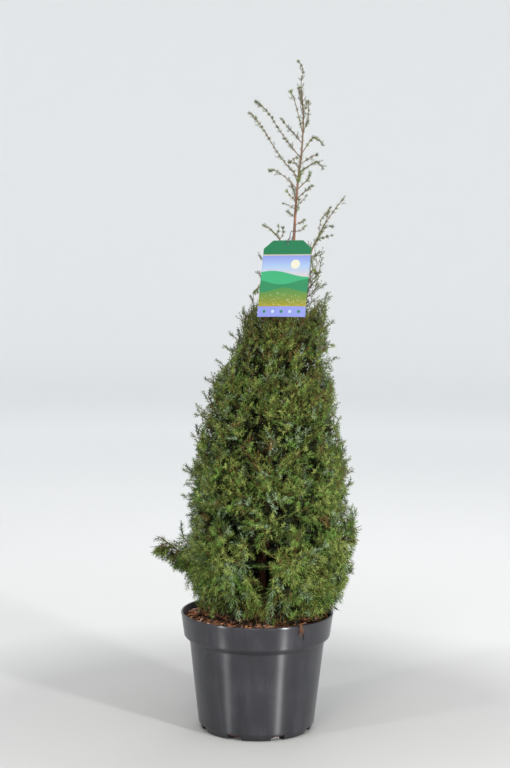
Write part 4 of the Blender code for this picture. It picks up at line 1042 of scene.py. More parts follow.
def make_finishes():
    """Every material of the plant, the pot and the card."""
    finishes = {"card": card_finish()}

    # Living needle: waxy skin, soft shine, the upper face paler from its band of wax
    for name, green, pale, _ in TINTS:
        finishes[f"needle_{name}"] = new_material(f"waxy_needle_{name}", green, 0.46, 1.42, 0.28)
        finishes[f"band_{name}"] = new_material(f"needle_wax_band_{name}", pale, 0.55, 1.40, 0.20)

    # Young twig: thin brown skin, dull, greyer on the leader
    finishes["twig"] = new_material("young_twig_bark", "#54401f", 0.75, specular=0.25)
    finishes["shoot"] = new_material("leader_shoot_bark", "#5d4a38", 0.70, specular=0.25)

    # Bark chips and fibres of the mulch, split and dry
    for name, code, _ in CHIP_TINTS:
        finishes[f"chip_{name}"] = new_material(f"split_bark_chip_{name}", code, 0.90)
    finishes["fibre"] = new_material("coarse_bark_fibre", "#563a28", 0.92)

    # Tie: soft dark strip of plastic
    finishes["tie"] = new_material("soft_plastic_tie", "#3a3746", 0.45, 1.48)

    # Old bark: fibrous strips, 2 to 4 mm wide and some centimetres long, grey over red-brown
    finishes["bark"], tree, shader, place = patterned("stringy_juniper_bark", "#6a4430", 0.86)
    stretched = add_node(tree, "Mapping", {"Vector": place, "Scale": (1.0, 1.0, 0.12)})
    strips = add_node(tree, "TexNoise", {"Vector": stretched.outputs[0], "Scale": 420.0, "Detail": 4.0,
                                         "Roughness": 0.6})
    old = add_node(tree, "ValToRGB", {0: strips.outputs["Fac"]},
                   stops=[(0.30, "#33211a"), (0.48, "#69422c"), (0.62, "#8c6044"), (0.78, "#a08a78")])
    heights = add_node(tree, "SeparateXYZ", {0: place})
    young = add_node(tree, "MapRange", {"Value": heights.outputs["Z"], "From Min": 0.88, "From Max": 1.15,
                                        "To Min": 0.0, "To Max": 0.85})
    aged = add_node(tree, "Mix", {"Factor": young.outputs[0], 6: old.outputs[0], 7: linear("#5c4a3f")},
                    data_type="RGBA")
    tree.links.new(aged.outputs[2], shader["Base Color"])
    add_node(tree, "Bump", {"Height": strips.outputs["Fac"], "Strength": 0.6, "Distance": 0.0008},
             feeds=shader["Normal"])

    # Pot: injection-moulded recycled polypropylene, charcoal, satin, with faint upright flow streaks and scuffs
    finishes["pot"], tree, shader, place = patterned("moulded_polypropylene", "#2c2c30", 0.36, 1.49, 0.45,
                                                     Anisotropic=0.95, Anisotropic_Rotation=0.25)
    upright = add_node(tree, "Mapping", {"Vector": place, "Scale": (1.0, 1.0, 0.10)})
    streaks = add_node(tree, "TexNoise", {"Vector": upright.outputs[0], "Scale": 70.0, "Detail": 3.0,
                                          "Roughness": 0.55})
    clouds = add_node(tree, "TexNoise", {"Vector": place, "Scale": 14.0, "Detail": 4.0, "Roughness": 0.6})
    both = add_node(tree, "Math", {0: streaks.outputs["Fac"], 1: clouds.outputs["Fac"]}, operation="ADD")
    half = add_node(tree, "Math", {0: both.outputs[0], 1: 0.5}, operation="MULTIPLY")
    add_node(tree, "ValToRGB", {0: half.outputs[0]}, feeds=shader["Base Color"],
             stops=[(0.30, "#1d1d20"), (0.50, "#242428"), (0.68, "#313136")])
    add_node(tree, "Tangent", {}, feeds=shader["Tangent"], direction_type="RADIAL", axis="Z")
    add_node(tree, "MapRange", {"Value": clouds.outputs["Fac"], "From Min": 0.3, "From Max": 0.7, "To Min": 0.29,
                                "To Max": 0.37}, feeds=shader["Roughness"])
    skin = add_node(tree, "TexNoise", {"Vector": place, "Scale": 900.0, "Detail": 2.0})
    add_node(tree, "Bump", {"Height": skin.outputs["Fac"], "Strength": 0.12, "Distance": 0.0004},
             feeds=shader["Normal"])

    # Potting mix: moist composted bark, crumbs of a few millimetres, dark with reddish bits
    finishes["soil"], tree, shader, place = patterned("bark_potting_mix", "#3d271a", 0.95)
    crumbs = add_node(tree, "TexVoronoi", {"Vector": place, "Scale": 260.0, "Randomness": 1.0})
    grains = add_node(tree, "TexNoise", {"Vector": place, "Scale": 330.0, "Detail": 5.0, "Roughness": 0.7})
    add_node(tree, "ValToRGB", {0: grains.outputs["Fac"]}, feeds=shader["Base Color"],
             stops=[(0.30, "#1d120c"), (0.50, "#45291a"), (0.66, "#6b3f26"), (0.80, "#8f5a38")])
    add_node(tree, "Bump", {"Height": crumbs.outputs["Distance"], "Strength": 0.9, "Distance": 0.002},
             feeds=shader["Normal"])

    # Floor and sweep: matt paper, with the plant's soft shade painted on near it, and paler far off
    finishes["sweep"], tree, shader, place = patterned("matt_paper_sweep", "#e4e4e3", 0.95)
    level = add_node(tree, "VectorMath", {0: place, 1: (1.0, 1.0, 0.0)}, operation="MULTIPLY")
    far = add_node(tree, "VectorMath", {0: level.outputs[0]}, operation="LENGTH")
    share = add_node(tree, "MapRange", {"Value": far.outputs["Value"], "From Min": 0.0, "From Max": WALL_RADIUS})
    # The dark stops near the middle are painted shade of the plant on the floor.
    add_node(tree, "ValToRGB", {0: share.outputs[0]}, feeds=shader["Base Color"],
             stops=[(0.030, "#a2a2a0"), (0.060, "#a4a4a3"), (0.10, "#c6c6c5"), (0.20, "#d6d6d5"),
                    (0.32, "#e4e4e3"), (0.49, "#f1f1f0"), (0.60, "#ededec"), (0.76, "#eeeeed")])
    return finishes


def card_finish():
    """Printed and laminated card: a made-up meadow of wavy fields under a pale sky, in glossy colours."""
    finish = new_material("laminated_printed_card", "#2f8455", 0.42, 1.46, 0.22, Coat_Weight=0.04,
                          Coat_Roughness=0.25)
    tree = finish.node_tree
    print_place = add_node(tree, "UVMap", {}, uv_map="UVMap").outputs[0]
    u, v, _ = add_node(tree, "SeparateXYZ", {0: print_place}).outputs
    narrow = TAG_WIDTH / TAG_HEIGHT
    true_place = add_node(tree, "VectorMath", {0: print_place, 1: (narrow, 1.0, 0.0)}, operation="MULTIPLY")

    def disc(middle_u, middle_v, radius):
        """One inside a round spot of the card, nought outside."""
        far = add_node(tree, "VectorMath", {0: true_place.outputs[0], 1: (middle_u * narrow, middle_v, 0.0)},
                       operation="DISTANCE")
        return add_node(tree, "Math", {0: far.outputs["Value"], 1: radius}, operation="LESS_THAN").outputs[0]

    def hill(level, height, waves, shift):
        """One below a wavy skyline, nought above it."""
        phase = add_node(tree, "Math", {0: u, 1: waves, 2: shift}, operation="MULTIPLY_ADD")
        wave = add_node(tree, "Math", {0: phase.outputs[0]}, operation="SINE")
        line = add_node(tree, "Math", {0: wave.outputs[0], 1: height, 2: level}, operation="MULTIPLY_ADD")
        return add_node(tree, "Math", {0: v, 1: line.outputs[0]}, operation="LESS_THAN").outputs[0]

    sky = add_node(tree, "ValToRGB", {0: v}, depth=PRINT_DEPTH,
                   stops=[(0.50, "#d8cdc4"), (0.66, "#a9c4e6"), (0.84, "#7f86dc")])
    field_colour = add_node(tree, "ValToRGB", {0: v}, depth=PRINT_DEPTH,
                            stops=[(0.14, "#a59a2a"), (0.22, "#7d9036"), (0.36, "#4f8f4a")])
    stipple = add_node(tree, "TexVoronoi", {"Vector": print_place, "Scale": 34.0})
    dots = add_node(tree, "Math", {0: stipple.outputs["Distance"], 1: 0.20}, operation="LESS_THAN")
    specks = add_node(tree, "Math", {0: dots.outputs[0], 1: hill(0.300, 0.030, 6.6, 4.4)}, operation="MULTIPLY")
    strip = add_node(tree, "Math", {0: v, 1: 0.135}, operation="LESS_THAN")
    rule = add_node(tree, "Math", {0: v, 1: 0.800}, operation="GREATER_THAN")
    head = add_node(tree, "Math", {0: v, 1: 0.815}, operation="GREATER_THAN")
    layers = [
        (disc(0.70, 0.685, 0.060), "#e8e3cc"),
        (hill(0.560, 0.040, 4.2, 0.6), "#3fae78"),
        (hill(0.455, 0.034, 5.4, 2.4), "#2f8b5c"),
        (hill(0.350, 0.030, 6.6, 4.4), field_colour.outputs[0]),
        (specks.outputs[0], "#d9dfc4"),
        (strip.outputs[0], "#8f98e0"),
        (rule.outputs[0], "#c8bfa8"),
        (head.outputs[0], "#1f7a50"),
    ]
    for number in range(5):
        layers.append((disc(0.14 + 0.18 * number, 0.068, 0.020), ("#2f8455", "#c6d9f2")[number % 2]))
    picture = sky.outputs[0]
    for share, colour in layers:
        colour = linear(colour, PRINT_DEPTH) if isinstance(colour, str) else colour
        picture = add_node(tree, "Mix", {"Factor": share, 6: picture, 7: colour}, data_type="RGBA").outputs[2]
    tree.links.new(picture, tree.nodes["Principled BSDF"].inputs["Base Color"])
    return finish


def deselect():
    """Nothing is selected afterwards."""
    if bpy.context.object and bpy.context.object.mode != "OBJECT":
        bpy.ops.object.mode_set(mode="OBJECT")
    bpy.ops.object.select_all(action="DESELECT")


def select_only(piece):
    """The piece is active and alone selected afterwards."""
    deselect()
    bpy.context.view_layer.objects.active = piece
    piece.select_set(True)


def start_piece(name):
    """The primitive just added gets its name, and its place goes into its mesh."""
    piece = bpy.context.object
    piece.name = name
    bpy.ops.object.transform_apply(location=True, rotation=True, scale=True)
    return piece


def edit_all():
    """Edit mode, with the whole mesh selected."""
    bpy.ops.object.mode_set(mode="EDIT")
    bpy.ops.mesh.select_all(action="SELECT")


def turn_faces_out():
    """Faces of the mesh in edit mode point outwards, and edit mode ends."""
    bpy.ops.mesh.select_all(action="SELECT")
    bpy.ops.mesh.normals_make_consistent(inside=False)
    bpy.ops.object.mode_set(mode="OBJECT")


def apply_modifier(piece, kind, **settings):
    """A modifier with its settings, applied to the piece."""
    select_only(piece)
    modifier = piece.modifiers.new(kind.lower(), kind)
    for name, value in settings.items():
        setattr(modifier, name, value)
    bpy.ops.object.modifier_apply(modifier=modifier.name)


def ringed_body(name, rings, sides, middle=None):
    """Body made from a disc that is extruded ring by ring.

    The rings are (radius, height), and middle gives their centres by height.
    """
    deselect()
    centre = middle or (lambda height: Vector((0, 0, height)))
    radius, height = rings[0]
    before, last_radius = centre(height), radius
    bpy.ops.mesh.primitive_circle_add(vertices=sides, radius=radius, fill_type="NGON", location=before)
    body = start_piece(name)
    edit_all()
    for radius, height in rings[1:]:
        point = centre(height)
        bpy.ops.mesh.extrude_region_move(TRANSFORM_OT_translate={"value": tuple(point - before)})
        factor = radius / last_radius
        bpy.ops.transform.resize(value=(factor, factor, 1.0), center_override=tuple(point))
        before, last_radius = point, radius
    turn_faces_out()
    return body


def cut_with(body, cutter):
    """Boolean difference, applied, and the cutter removed."""
    apply_modifier(body, "BOOLEAN", object=cutter, solver="EXACT")
    bpy.data.objects.remove(cutter, do_unlink=True)


def spot(radius, turn, height=0.0):
    """Point at a radius, an angle and a height round the pot's middle."""
    return np.array([radius * math.cos(turn), radius * math.sin(turn), height])


def box_cutter(size, azimuth, radius, height, bevel):
    """Box with rounded edges, its first side along a radius of the pot."""
    deselect()
    turn = math.radians(azimuth)
    bpy.ops.mesh.primitive_cube_add(size=1.0, location=spot(radius, turn, height), rotation=(0, 0, turn),
                                    scale=size)
    cutter = start_piece("cutter")
    edit_all()
    bpy.ops.mesh.bevel(offset=bevel, segments=3, affect="EDGES")
    bpy.ops.object.mode_set(mode="OBJECT")
    return cutter


def finish_piece(piece, finish, nodes, smooth_angle=None):
    """Last steps of a piece: material, shading, the body it rides on and the nodes it stands for."""
    if finish:
        piece.data.materials.clear()
        piece.data.materials.append(finish)
    if smooth_angle is not None:
        select_only(piece)
        bpy.ops.object.shade_smooth_by_angle(angle=math.radians(smooth_angle))
    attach(piece, "root")
    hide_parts(*nodes)


def make_pot(finish):
    """Pot: thin wall with a stepped rim band, a rolled lip, feet between the drain notches, and two slits."""
    pad, foot, rim = (POT_PAD_RADIUS, 0.0), (POT_FOOT_RADIUS, 0.0), (POT_RIM_RADIUS, POT_HEIGHT)
    profile = [
        (pad, [(0, 0), (0.0040, POT_CHANNEL_HEIGHT)]),
        (foot, [(-0.0280, POT_CHANNEL_HEIGHT), (-0.0240, 0), (-0.0010, 0), (0.0002, 0.0008)]),
        (POT_WALL_FOOT, [(-0.0012, -0.0020), (-0.0002, -0.0008), (0.0006, 0.0008), (0.0010, 0.0040)]),
        (POT_WALL_TOP, [(-0.0004, -0.0030), (0.0002, 0), (0.0016, 0.0012)]),
        (POT_BAND_FOOT, [(-0.0016, -0.0030), (-0.0003, -0.0012), (0.0001, 0.0010)]),
        (rim, [(-0.0008, -0.0060), (-0.0001, -0.0044), (0, -0.0016), (-0.0005, -0.0005), (-0.0014, 0),
               (-0.0028, 0), (-0.0037, -0.0008), (-0.0040, -0.0030)]),
        (POT_BAND_FOOT, [(-POT_WALL, 0.0010)]),
        (POT_WALL_TOP, [(-POT_WALL, 0.0010)]),
        (POT_WALL_FOOT, [(-POT_WALL, 0), (-POT_WALL - 0.0040, POT_FLOOR_HEIGHT - POT_WALL_FOOT[1])]),
    ]
    rings = [(radius + out, height + up) for (radius, height), steps in profile for out, up in steps]
    pot = ringed_body("nursery_pot", rings, POT_STEPS)
    for index in range(NOTCH_COUNT):
        azimuth = (index + 0.5) * 360 / NOTCH_COUNT
        size = (0.024, NOTCH_WIDTH, 2 * NOTCH_HEIGHT)
        cut_with(pot, box_cutter(size, azimuth, POT_FOOT_RADIUS - 0.0005, 0.0, 0.0015))
    for azimuth in SLIT_AZIMUTHS:
        cut_with(pot, box_cutter(SLIT_SIZE, azimuth, POT_BAND_FOOT[0] + 0.0030, SLIT_HEIGHT, 0.0004))
    finish_piece(pot, finish, ["pot"], smooth_angle=32)


def make_soil(finishes, rng):
    """Potting mix: a plug with a crumbly top, bark chips of several browns and loose fibres, some over the rim."""
    inset = POT_WALL + FIT_GAP * 1.3
    slope = (POT_RIM_RADIUS - POT_BAND_FOOT[0]) / (POT_HEIGHT - POT_BAND_FOOT[1])
    edge_radius = POT_BAND_FOOT[0] - inset - 0.0014 + slope * (SOIL_EDGE_HEIGHT - POT_BAND_FOOT[1])
    rings = [
        (POT_WALL_FOOT[0] - inset - 0.0045, POT_FLOOR_HEIGHT + FIT_GAP),
        (POT_WALL_FOOT[0] - inset, POT_WALL_FOOT[1] + 0.0010),
        (POT_WALL_TOP[0] - inset - 0.0002, POT_WALL_TOP[1] + 0.0010),
        (POT_BAND_FOOT[0] - inset - 0.0004, POT_BAND_FOOT[1] + 0.0018), (edge_radius, SOIL_EDGE_HEIGHT),
    ]
    for step in range(1, SOIL_TOP_RINGS):
        share = step / SOIL_TOP_RINGS
        rings.append((edge_radius * (1 - share) + 0.003 * share,
                      SOIL_EDGE_HEIGHT + (SOIL_SEAT_HEIGHT - SOIL_EDGE_HEIGHT) * min(1.0, share * 1.2)))
    soil = ringed_body("potting_mix", rings, SOIL_STEPS)
    for vert in soil.data.vertices:
        if vert.co.z > SOIL_EDGE_HEIGHT - 0.0005:
            vert.co.z += 0.0022 * noise.fractal(vert.co * 70.0, 0.9, 2.2, 4) - 0.0008
    finish_piece(soil, finishes["soil"], ["soil"], smooth_angle=60)
    make_chips(edge_radius, finishes, rng)
    make_fibres(edge_radius, finishes["fibre"], rng)


def make_chips(edge_radius, finishes, rng):
    """Bark chips: uneven boxes of 4 to 15 mm that lie all over the soil."""
    corners, kinds = [], []
    shape = np.array([[x, y, z] for z in (-0.5, 0.5) for y in (-0.5, 0.5) for x in (-0.5, 0.5)])
    sides = np.array([[0, 2, 3], [0, 3, 1], [4, 5, 7], [4, 7, 6], [0, 1, 5], [0, 5, 4], [2, 6, 7], [2, 7, 3],
                      [0, 4, 6], [0, 6, 2], [1, 3, 7], [1, 7, 5]])
    for _ in range(CHIP_COUNT):
        radius = (edge_radius - 0.004) * math.sqrt(rng.uniform(0.02, 1.0))
        turn = rng.uniform(0, 2 * math.pi)
        size = np.array([rng.uniform(0.004, 0.015), rng.uniform(0.003, 0.008), rng.uniform(0.0010, 0.0030)])
        lying = (Matrix.Rotation(turn * 3.1, 3, "Z") @ Matrix.Rotation(rng.uniform(-0.5, 0.5), 3, "X")
                 @ Matrix.Rotation(rng.uniform(-0.4, 0.4), 3, "Y"))
        body = shape * size * rng.uniform(0.72, 1.0, (8, 1))
        corners.append(body @ np.array(lying).T
                       + spot(radius, turn, SOIL_EDGE_HEIGHT + 0.002 + rng.uniform(0.0, 0.0035)))
        kinds.append(rng.choice(len(CHIP_TINTS), p=[share for _, _, share in CHIP_TINTS]))
    faces = sides[None] + 8 * np.arange(CHIP_COUNT)[:, None, None]
    chips = mesh_piece("bark_chips", np.concatenate(corners), faces.reshape(-1, 3),
                       [finishes[f"chip_{name}"] for name, _, _ in CHIP_TINTS], np.repeat(kinds, len(sides)))
    finish_piece(chips, None, ["soil"])


def make_fibres(edge_radius, finish, rng):
    """Bark fibres: loose curved ones on the soil, and a clump that hangs over the pot's rim."""
    up = np.array([0.0, 0.0, 1.0])
    paths = []
    for _ in range(FIBRE_COUNT):
        radius = (edge_radius - 0.012) * math.sqrt(rng.uniform(0.05, 1.0))
        start = spot(radius, rng.uniform(0, 2 * math.pi), SOIL_EDGE_HEIGHT + 0.004)
        heading = rng.uniform(0, 2 * math.pi)
        reach = rng.uniform(0.010, 0.030)
        ahead = spot(1.0, heading) * reach
        sideways = np.cross(up, spot(1.0, heading)) * reach * rng.uniform(-0.5, 0.5)
        steps = np.linspace(0, 1, 6)[:, None]
        path = start + ahead * steps + sideways * np.sin(steps * 3.0) + up * 0.006 * np.sin(steps * 3.1)
        far = np.hypot(path[:, 0], path[:, 1])
        path[:, :2] *= np.minimum(1.0, (edge_radius - 0.003) / np.maximum(far, 1e-6))[:, None]
        paths.append(path)
    for _ in range(CLUMP_COUNT):
        aside = rng.normal(0.0, 1.0)
        outward = spot(1.0, math.radians(CLUMP_AZIMUTH + CLUMP_SPREAD * aside))
        sideways = np.cross(up, outward) * (rng.uniform(-0.002, 0.002) - 0.0036 * aside)
        drop = rng.uniform(0.30, 1.0) * CLUMP_DROP * math.exp(-0.35 * aside * aside)
        knots = [outward * radius + sideways * share + up * (height - drop * fall)
                 for radius, height, share, fall in CLUMP_PATH]
        paths.append(point_array(curve_points(knots, 6)))
    radii = np.linspace(0.00055, 0.0003, 6)[None, :].repeat(len(paths), 0)
    fibres = mesh_piece("bark_fibres", *tube_arrays(np.array(paths), radii, 4), [finish], smooth=True)
    finish_piece(fibres, None, ["soil"])


def make_trunk(finish):
    """Trunk: leaning and tapering, flared at its root, with stringy strips of bark in relief."""
    foot, top = TRUNK_LINE[0][2], TRUNK_LINE[-1][2]
    rings = []
    for step in range(TRUNK_RINGS + 1):
        height = foot + (top - foot) * (step / TRUNK_RINGS) ** 1.25
        rings.append((trunk_radius(height), height))
    trunk = ringed_body("juniper_trunk", rings, TRUNK_SIDES, middle=trunk_at)
    apply_modifier(trunk, "SUBSURF", subdivision_type="SIMPLE", levels=1, render_levels=1)
    for vert in trunk.data.vertices:
        middle = trunk_at(vert.co.z)
        out = Vector((vert.co.x - middle.x, vert.co.y - middle.y, 0))
        radius = out.length
        if radius < 1e-6:
            continue
        out.normalize()
        full = trunk_radius(vert.co.z)
        lobes = 0.16 * math.cos(3 * math.atan2(out.y, out.x)) * max(0.0, 1 - (vert.co.z - foot) / 0.02)
        strips = noise.fractal(Vector((out.x * 2.6, out.y * 2.6, vert.co.z * 22.0)), 0.8, 2.3, 4)
        vert.co += out * full * (lobes + 0.13 * strips)
    finish_piece(trunk, finish, ["trunk"], smooth_angle=55)


def round_tube(name, points, radii, thickness, steps, closed=False):
    """Round tube along points, made as a bevelled curve. The radii are shares of the thickness."""
    deselect()
    bpy.ops.curve.primitive_bezier_curve_add()
    tube = bpy.context.object
    tube.name = name
    curve = tube.data
    curve.splines.clear()
    spline = curve.splines.new("POLY")
    spline.points.add(len(points) - 1)
    for knot, point, radius in zip(spline.points, points, radii):
        knot.co = (*point, 1.0)
        knot.radius = radius
    spline.use_cyclic_u = closed
    curve.bevel_depth = thickness
    curve.bevel_resolution = steps
    curve.use_fill_caps = not closed
    bpy.ops.object.convert(target="MESH")
    return tube


def make_boughs(boughs, finish):
    """Boughs: tubes with the bough's own taper, swollen where they leave the trunk, with bark in relief."""
    for name, points, radii in boughs:
        way = (points[1] - points[0]).normalized()
        line = curve_points([points[0] - way * 0.002, *points[1:]], 26)
        shares = np.arange(len(line)) / (len(line) - 1)
        swell = 1.0 + 0.35 * np.maximum(0.0, 1 - np.arange(len(line)) / 4)
        swollen = np.interp(shares, [0, 1], [radii[0], radii[-1]]) * swell
        limb = round_tube(name.replace("bough", "limb"), line, swollen, 1.0, 4)
        edit_all()
        bpy.ops.mesh.remove_doubles(threshold=0.00001)
        turn_faces_out()
        middles = point_array(line)
        for vert in limb.data.vertices:
            nearest = Vector(middles[np.argmin(((middles - np.array(vert.co)) ** 2).sum(1))])
            strips = noise.fractal(Vector((vert.co.x * 240, vert.co.y * 240, vert.co.z * 90)), 0.8, 2.2, 3)
            vert.co += (vert.co - nearest) * 0.16 * strips
        finish_piece(limb, finish, [name], smooth_angle=60)


def card_frame():
    """Frame of the label card: across, up and out of its face, at its middle."""
    turn = Matrix.Rotation(TAG_TURN, 4, "Z")
    lean = Matrix.Rotation(TAG_LEAN, 4, "Y")
    tilt = Matrix.Rotation(TAG_TILT, 4, "X")
    stand = Matrix(((1, 0, 0, 0), (0, 0, -1, 0), (0, 1, 0, 0), (0, 0, 0, 1)))
    return Matrix.Translation(TAG_MIDDLE) @ turn @ lean @ tilt.inverted() @ stand


def tie_line(place, count):
    """Closed line of the tie: through the hole of the card, over its top edge and round the trunk."""
    out, up = place.col[2].to_3d(), place.col[1].to_3d()
    hole = place @ Vector((0, TAG_HEIGHT / 2 - TAG_HOLE_DROP, 0))
    middle = trunk_at(TIE_HEIGHT)
    back = middle - hole
    back = Vector((back.x, back.y, 0)).normalized()
    side = Vector((0, 0, 1)).cross(back)
    turn = trunk_radius(TIE_HEIGHT) + TIE_RADIUS + FIT_GAP
    over = hole + up * (TAG_HOLE_DROP + 0.0025)
    knots = [hole - out * 0.002, hole + out * 0.002, over + out * 0.001, over + up * 0.001 - out * 0.004]
    knots += [middle + side * turn - back * 0.012]
    for angle in (0, 45, 90, 135, 180):
        around_trunk = side * math.cos(math.radians(angle)) + back * math.sin(math.radians(angle))
        knots.append(middle + around_trunk * turn)
    knots += [middle - side * turn - back * 0.012, hole - out * 0.008]
    points = []
    for index in range(count):
        place_on = index * len(knots) / count
        span = int(place_on)
        near = [knots[(span + step) % len(knots)] for step in (-1, 0, 1, 2)]
        points.append(smooth_point(*near, place_on - span))
    return points


def make_card(place, finish):
    """Label card: two top corners cut off, a hole for the tie, and a slight bow across its width."""
    deselect()
    bpy.ops.mesh.primitive_grid_add(x_subdivisions=24, y_subdivisions=36, size=1.0, calc_uvs=True)
    bpy.context.object.scale = (TAG_WIDTH, TAG_HEIGHT, 1.0)
    card = start_piece("plant_label")
    cut_x, cut_y = TAG_CHAMFER
    bpy.ops.object.mode_set(mode="EDIT")
    for side in (-1, 1):
        bpy.ops.mesh.select_all(action="SELECT")
        corner = (side * TAG_WIDTH / 2, TAG_HEIGHT / 2 - cut_y, 0.0)
        square = Vector((side * cut_y, cut_x, 0.0)).normalized()
        bpy.ops.mesh.bisect(plane_co=corner, plane_no=square, clear_outer=True, threshold=0.00001)
    bpy.ops.object.mode_set(mode="OBJECT")
    apply_modifier(card, "SOLIDIFY", thickness=TAG_THICKNESS, offset=0.0)
    deselect()
    bpy.ops.mesh.primitive_cylinder_add(vertices=24, radius=TAG_HOLE_RADIUS, depth=0.01,
                                        location=(0, TAG_HEIGHT / 2 - TAG_HOLE_DROP, 0))
    cut_with(card, bpy.context.object)
    for vert in card.data.vertices:
        across = vert.co.x / (TAG_WIDTH / 2)
        low = max(0.0, -vert.co.y / (TAG_HEIGHT / 2))
        vert.co.z -= TAG_BOW * across * across * low
    card.data.transform(place)
    finish_piece(card, finish, ["tag_card"])


def make_tie(place, finish):
    """Tie: a soft strip that is drawn through the card's hole and round the trunk."""
    tie = round_tube("label_tie", tie_line(place, TIE_POINTS), [1.0] * TIE_POINTS, TIE_RADIUS, 3, closed=True)
    finish_piece(tie, finish, ["tag_tie"], smooth_angle=60)


def grow_mass(index, mass, spaces, sprigs, twig_paths):
    """Twigs and sprigs of one mass."""
    rng = random.Random(1000 + mass.seed)
    if not mass.in_crown:
        if mass.twigs:
            leader_twigs(grow_twigs(index, mass, spaces, mass.seed, mass.twigs), index, rng, sprigs)
        shoot_sprigs(index, mass, rng, sprigs)
        return
    twigs = grow_twigs(index, mass, spaces, mass.seed, mass.twigs)
    for number, share in enumerate(INFILL_SHARES):
        twigs += grow_twigs(index, mass, spaces, 500 * (number + 1) + mass.seed, int(mass.twigs * share))
    if mass.far:
        stem = [Vector(point) for point in mass.points]
        end = stem[-1] - stem[-3]
        twigs += [(low, (high - low).normalized(), (high - low).length) for low, high in zip(stem[2:], stem[3:])]
    for base, way, free in twigs:
        if mass.far and spaces.depth(base) < OUTER_DEPTH and way.dot(end) < 0.85 * end.length:
            way, free = hanging(way, 0.6, 0.12), free * OUTER_SHARE
        if mass.far and (base - stem[-1]).length < 0.004:
            free = min(free, PLUME_END_TWIG)
        sprigs_of_twig(base, way, free, index, mass, spaces, rng, sprigs, twig_paths)
    if mass.far:
        plume_tufts(index, mass, spaces, rng, sprigs)


def make_foliage(boughs, masses, spaces, finishes):
    """Twigs, sprigs and needles of every mass, joined each kind apart by tier and tint."""
    sprigs, twig_paths = Sprigs(), []
    masses = masses + trunk_twigs()
    for index, mass in enumerate(masses):
        grow_mass(index, mass, spaces, sprigs, twig_paths)
    rng = random.Random(SEED)
    tree = twig_tree(masses, twig_paths)
    fill_surface(masses, spaces, sprigs, tree, rng)
    edge_shoots(spaces, sprigs, tree, rng)
    trunk_tufts(len(masses) - 1, rng, sprigs)
    fill_inside(boughs, masses, spaces, sprigs, rng)
    arrays = sprigs.arrays()
    corners, owner = needle_arrays(arrays, np.random.default_rng(SEED))
    tier_of_mass = np.array([TIERS.index(mass.tier) for mass in masses])
    needle_tier = tier_of_mass[arrays[5][owner]]
    needle_tint = arrays[4][owner]
    for tier_number, tier in enumerate(TIERS):
        nodes = [mass.name for mass in masses if mass.tier == tier and mass.twigs]
        for tint_number, (tint, *_) in enumerate(TINTS):
            chosen = corners[(needle_tier == tier_number) & (needle_tint == tint_number)]
            if not len(chosen):
                continue
            parts = np.array_split(chosen, 1 + len(NEEDLE_FACES) * len(chosen) // PIECE_LIMIT)
            for number, part in enumerate(parts):
                faces = NEEDLE_FACES[None] + 4 * np.arange(len(part))[:, None, None]
                name = f"{tier}_needles_{tint}" + (f"_{number + 1}" if len(parts) > 1 else "")
                piece = mesh_piece(name, part.reshape(-1, 3), faces.reshape(-1, 3),
                                   [finishes[f"needle_{tint}"], finishes[f"band_{tint}"]],
                                   np.tile(NEEDLE_FACE_FINISH, len(part)))
                finish_piece(piece, None, nodes)
        make_twigs(tier, masses, tier_of_mass, arrays, twig_paths, nodes, finishes)


def make_twigs(tier, masses, tier_of_mass, arrays, twig_paths, nodes, finishes):
    """Stems, twigs and sprig stalks of one tier as one joined piece."""
    base, way, length, lift, _, mass_of, _ = arrays
    own_masses = [mass for mass in masses if mass.tier == tier]
    stems = np.array([point_array(curve_points(mass.line, 18)) for mass in own_masses])
    radii = np.array([np.linspace(mass.radius, max(0.0006, mass.radius * 0.35), 18) for mass in own_masses])
    parts = [tube_arrays(stems, radii, 6)]
    chosen = [(masses[index], path) for index, path in twig_paths if masses[index].tier == tier]
    if chosen:
        paths = np.array([path for _, path in chosen])
        radii = np.array([np.linspace(max(0.0007, mass.radius * 0.38), TWIG_RADIUS * 0.9, paths.shape[1])
                          for mass, _ in chosen])
        parts.append(tube_arrays(paths, radii, 4))
    own = tier_of_mass[mass_of] == TIERS.index(tier)
    steps = np.array([0.0, 0.92])[None, :, None]
    rise = np.array([0.0, 0.0, 1.0]) * (lift[own] * length[own])[:, None, None] * steps ** 2
    paths = base[own][:, None, :] + way[own][:, None, :] * length[own][:, None, None] * steps + rise
    radii = np.array([1.0, 0.5])[None, :] * np.full((own.sum(), 1), TWIG_RADIUS)
    parts.append(tube_arrays(paths, radii, 3))
    finish = finishes["shoot" if tier == "leader" else "twig"]
    finish_piece(mesh_piece(f"{tier}_twigs", *joined(parts), [finish], smooth=True), None, nodes)


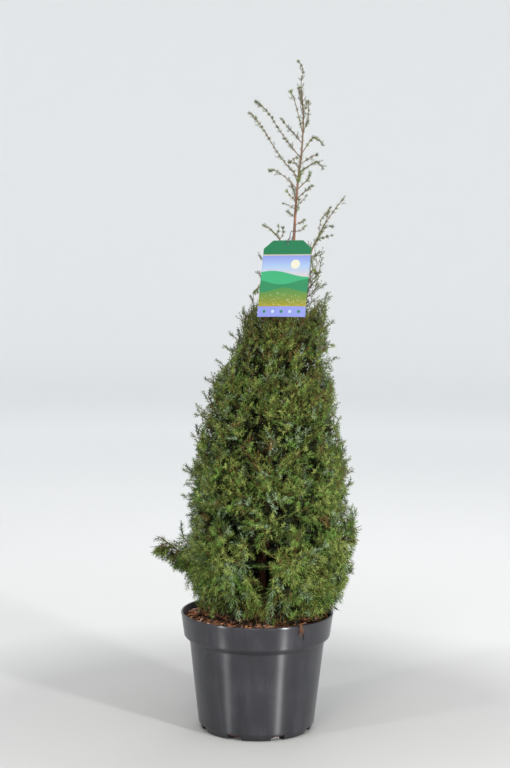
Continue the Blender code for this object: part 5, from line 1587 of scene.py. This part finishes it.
def make_stage(finish):
    """Floor that sweeps up all round into a low wall, far from the plant."""
    rings = [(radius, FLOOR_LEVEL) for radius in (0.5, 2.0, FLOOR_RADIUS)]
    for step in range(1, SWEEP_STEPS + 1):
        turn = step / SWEEP_STEPS * math.pi / 2
        rings.append((FLOOR_RADIUS + (WALL_RADIUS - FLOOR_RADIUS) * math.sin(turn),
                      FLOOR_LEVEL + SWEEP_RISE * (1 - math.cos(turn))))
    rings.append((WALL_RADIUS, WALL_HEIGHT))
    last_radius, last_height = rings[0]
    deselect()
    bpy.ops.mesh.primitive_circle_add(vertices=96, radius=last_radius, fill_type="NGON",
                                      location=(0, 0, last_height))
    floor = start_piece("paper_sweep")
    bpy.ops.object.mode_set(mode="EDIT")
    bpy.ops.mesh.select_mode(type="EDGE")
    bpy.ops.mesh.select_all(action="SELECT")
    for radius, height in rings[1:]:
        bpy.ops.mesh.extrude_edges_move(TRANSFORM_OT_translate={"value": (0, 0, height - last_height)})
        factor = radius / last_radius
        bpy.ops.transform.resize(value=(factor, factor, 1.0), center_override=(0, 0, height))
        last_radius, last_height = radius, height
    bpy.ops.object.mode_set(mode="OBJECT")
    floor.data.materials.append(finish)
    bpy.ops.object.shade_smooth_by_angle(angle=math.radians(60))


def add_object(name, data):
    """Object in the scene that holds a lamp or a camera."""
    holder = bpy.data.objects.new(name, data)
    bpy.context.scene.collection.objects.link(holder)
    return holder


def make_lights():
    """Plain soft studio light: pale surroundings, a wide top light and two tall strips that the pot mirrors."""
    world = bpy.data.worlds.new("studio")
    bpy.context.scene.world = world
    world.use_nodes = True
    background = world.node_tree.nodes["Background"].inputs
    background["Color"].default_value = linear(SURROUNDINGS[0])
    background["Strength"].default_value = SURROUNDINGS[1]
    for name, azimuth, distance, height, size, power, aim_height, colour in LIGHTS:
        turn = math.radians(azimuth)
        place = Vector((math.sin(turn) * distance, -math.cos(turn) * distance, height))
        lamp = bpy.data.lights.new(name, "AREA")
        lamp.shape = "RECTANGLE"
        lamp.size, lamp.size_y = size
        lamp.energy = power
        lamp.color = linear(colour)[:3]
        box = add_object(name, lamp)
        way = Vector((0.02, 0, aim_height)) - place
        box.matrix_world = Matrix.Translation(place) @ way.to_track_quat("-Z", "Y").to_matrix().to_4x4()
        box.visible_camera = False


def make_camera():
    """Camera as the photograph's: a little below the plant's top, looking slightly down."""
    camera = bpy.data.cameras.new("camera")
    camera.lens = CAMERA_LENS
    camera.sensor_width = 36.0
    holder = add_object("camera", camera)
    holder.matrix_world = (Matrix.Translation(CAMERA_PLACE)
                           @ Matrix.Rotation(math.radians(90) - CAMERA_DOWN, 4, "X")
                           @ Matrix.Rotation(CAMERA_ROLL, 4, "Z"))
    bpy.context.scene.camera = holder


def main():
    """Build every piece of the scene."""
    finishes = make_finishes()
    make_camera()
    boughs, masses = plan_boughs_and_masses()
    place = card_frame()
    spaces = Spaces(boughs, masses, place, tie_line(place, 30))
    make_pot(finishes["pot"])
    make_soil(finishes, np.random.default_rng(SEED + 1))
    make_trunk(finishes["bark"])
    make_boughs(boughs, finishes["bark"])
    make_card(place, finishes["card"])
    make_tie(place, finishes["tie"])
    make_foliage(boughs, masses, spaces, finishes)
    make_stage(finishes["sweep"])
    make_lights()
    bpy.context.scene.view_settings.view_transform = "Standard"
    bpy.context.view_layer.update()


main()
